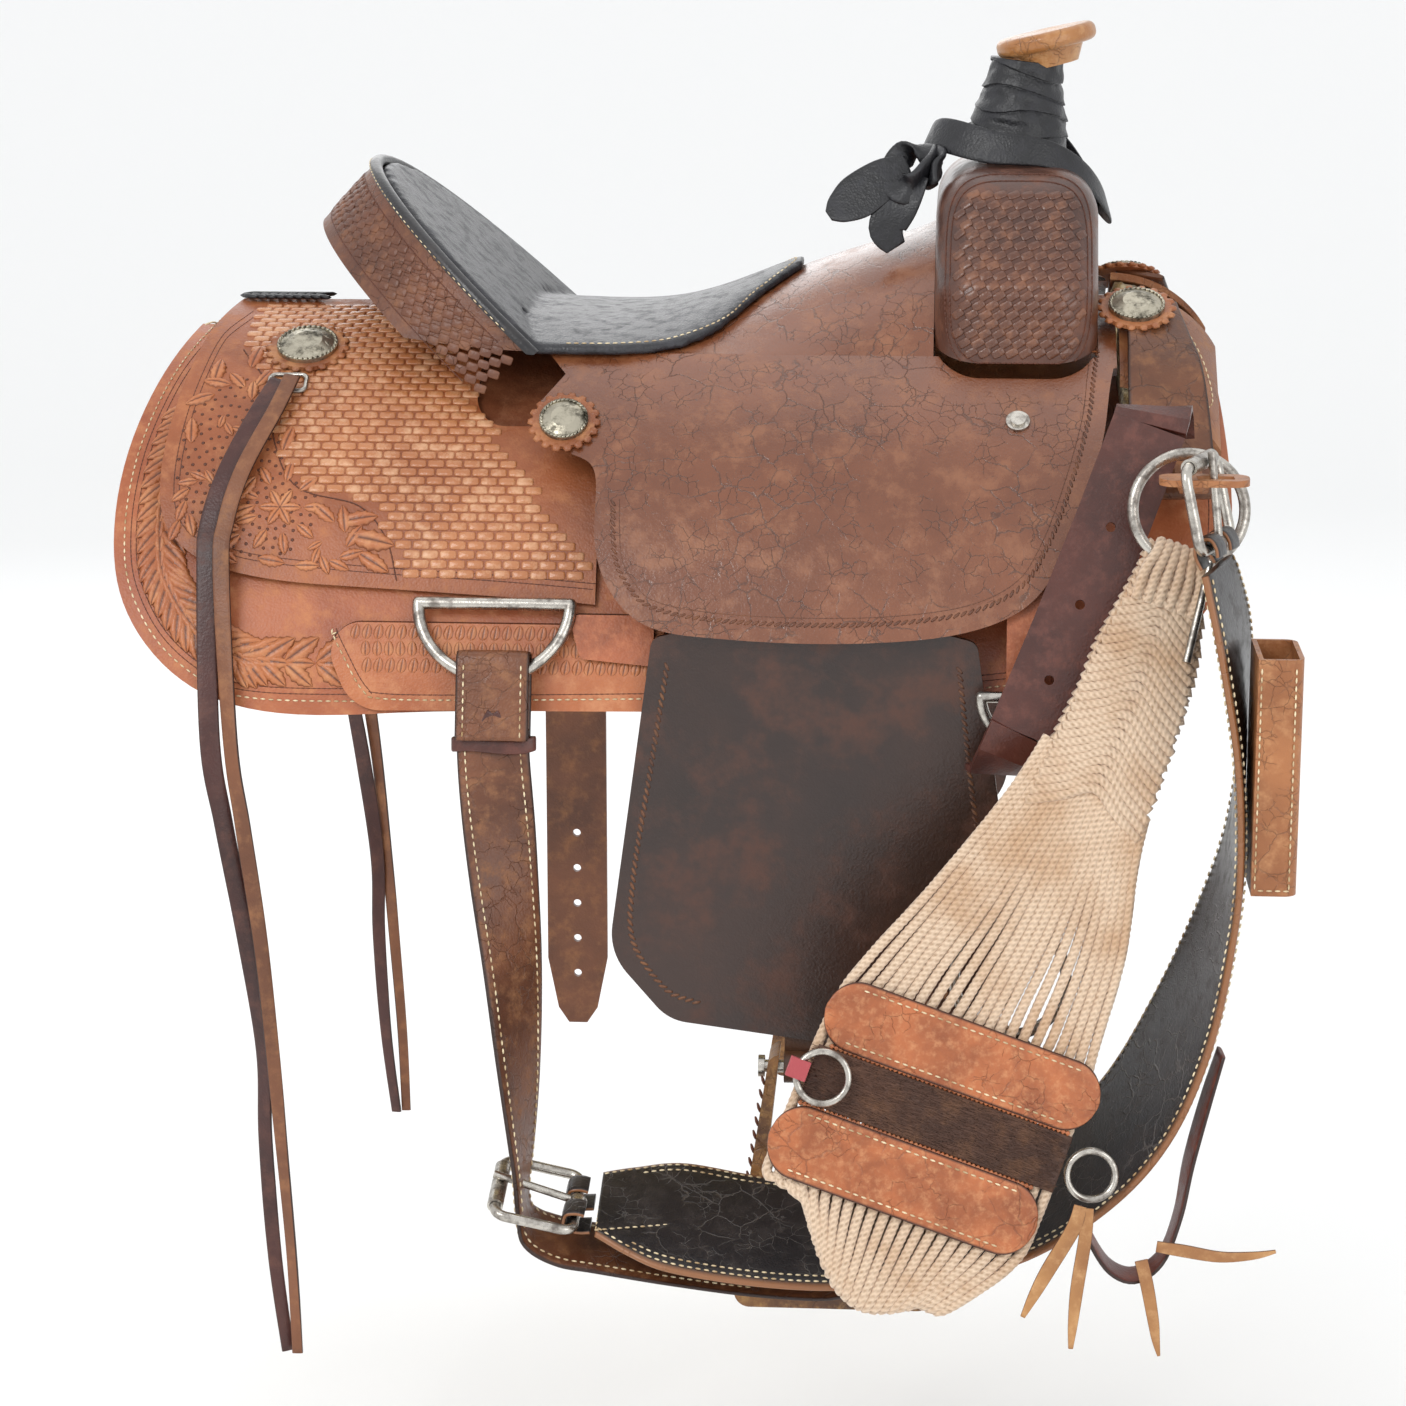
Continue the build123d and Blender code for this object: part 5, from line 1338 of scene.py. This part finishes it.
for k in range(2600):
    across, down = chance.uniform(-76, 82), chance.uniform(380.5, 413.5)
    way = (cinch_side + cinch_down * chance.uniform(-0.22, 0.22) + cinch_out * 0.10).normalized()
    marks.append((on_cinch(across, down, 6.6 + chance.uniform(-0.3, 0.3)) / 1000, cinch_out, way,
                  chance.uniform(0.7, 1.25)))
stamped("hair_strands", "front_cinch", marks, stitch_shape, (11, 0.5, 0.45), hair_brown)
tape, tape_tree, tape_shader, tape_place = surface("red_tape")
tape_weave = put(tape_tree, "ShaderNodeTexWave",
                 {"Vector": tape_place, "Scale": 500.0, "Distortion": 2.0}).outputs["Fac"]
tape_tree.links.new(mixed(tape_tree, tape_weave, tint("a63a44"), tint("cf6a6c")),
                    tape_shader.inputs["Base Color"])
tape_tree.links.new(bumped(tape_tree, tape_weave, 0.0003), tape_shader.inputs["Normal"])
tape_shader.inputs["Roughness"].default_value = 0.8
finish(tape, "cinch_tape")


# ---- Connector strap and laces -----------------------------------------------
# A dark strap that ties the front cinch to the flank cinch, with rawhide laces.
connector_run = [
    (355.5, -338, -372, 20, (-0.1, 0.99, 0)), (347, -338, -404, 20, (-0.2, 0.97, 0)),
    (338, -343, -440, 20, (-0.2, 0.97, 0)),
    (332, -352, -470, 20, (-0.1, 0.99, 0)), (322, -361, -494, 20, (0, 0.99, 0.1)),
    (306, -367, -504, 20, (0, 0.99, 0.1)),
    (290, -371, -497, 20, (0, 0.99, 0.1)), (277, -373, -476, 20, (0, 0.99, 0.1)),
    (272, -373, -462, 20, (0, 0.99, 0.1))]
latigo_soft = leather("connector_hide", "4a211a", "6b362b", "8f5645", 0.5, edge=strap_edge)
connector = strapped("cinch_connector", "flank", connector_run, 3.2, latigo_soft)
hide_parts("connector_strap")
lace_tan = leather("lace_tan", "8a5a34", "b5834f", "d6ab78", 0.6, edge=strap_edge, edge_crack_and_painted_shade="5a3820")
laces = {
    "lace_low_left": [(272, -383, -455, 8, (0.8, 0, 0.5)), (268, -386, -468, 9, (0.8, 0, 0.5)),
                      (254, -386, -494, 9, (0.8, 0, -0.5)),
                      (246, -386, -510, 7, (0.8, 0, -0.5)), (239, -386, -525, 3, (0.8, 0, -0.5))],
    "lace_low_right": [(276, -384, -456, 8, (1, 0, 0)), (275, -387, -474, 8, (1, 0, 0.1)),
                       (271, -387, -505, 8, (1, 0, 0)),
                       (269, -387, -528, 6, (1, 0, 0)), (268, -387, -544, 3, (1, 0, 0))],
    "lace_side": [(318, -376, -482, 7, (0, 0, 1)), (334, -377, -484, 8, (0.1, 0, 1)),
                  (356, -375, -488, 7, (0.1, 0, 1)),
                  (376, -374, -487, 5, (0.1, 0, 1)), (389, -374, -484, 2, (0.1, 0, 1))],
    "lace_hanging": [(309, -379, -490, 8, (1, 0, 0)), (313, -380, -506, 8, (1, 0, 0.2)),
                     (317, -380, -527, 7, (1, 0, 0.2)),
                     (319, -380, -540, 5, (1, 0, 0)), (321, -380, -550, 2, (1, 0, 0))]}
for label, run in laces.items():
    strapped(label, "flank", run, 2.0, lace_tan)


# ---- Saddle strings ----------------------------------------------------------
# Long latigo laces tied through the small dee under each rear concho.
string_dark = leather("string_dark", "2e1613", "4a2620", "6a4438", 0.5, edge=strap_edge)
string_tan = leather("string_tan", "5a341e", "7d4d30", "a3714a", 0.55, edge=strap_edge, edge_crack_and_painted_shade="2c150e")
tracks = [
    ([(-248, 35.6), (-258, 42), (-273, 52), (-281, 60), (-281, 67)],
     [(-276, -231, -215), (-268, -234, -270), (-256, -234, -345), (-247, -234, -420), (-247, -234, -480),
      (-243, -234, -560), (-236, -234, -625)], 13, 5.8, string_dark, "dark"),
    ([(-239, 35.6), (-246, 42), (-262, 52), (-270, 60), (-271, 67)],
     [(-262, -231, -215), (-255, -234, -270), (-246, -234, -345), (-240, -234, -420), (-236, -234, -480),
      (-231, -234, -560), (-229, -234, -625)], 11, 9.8, string_tan, "tan")]
for top_path, tail_path, width, lift, material, label in tracks:
    stations = []
    for x, tilt in top_path:
        a = math.radians(tilt)
        stations.append((x, 40 - (256 + lift) * math.sin(a), -216.3 + (256 + lift) * math.cos(a), width,
                         (1, 0, 0)))
    for k, (x, y, z) in enumerate(tail_path):
        curl = 0.5 * math.sin(1.3 * k + width)
        stations.append((x, y - lift + 5.8, z, width * (1 - 0.06 * k), (1, curl, 0)))
    right = strapped(f"string_{label}_right", "strings_right", stations, 3.0, material,
                     steps=9)
    left = strapped(f"string_{label}_left", "strings_left", flipped(stations), 3.0, material,
                    steps=9)
    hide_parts("saddle_strings_right")
    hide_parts("saddle_strings_left")
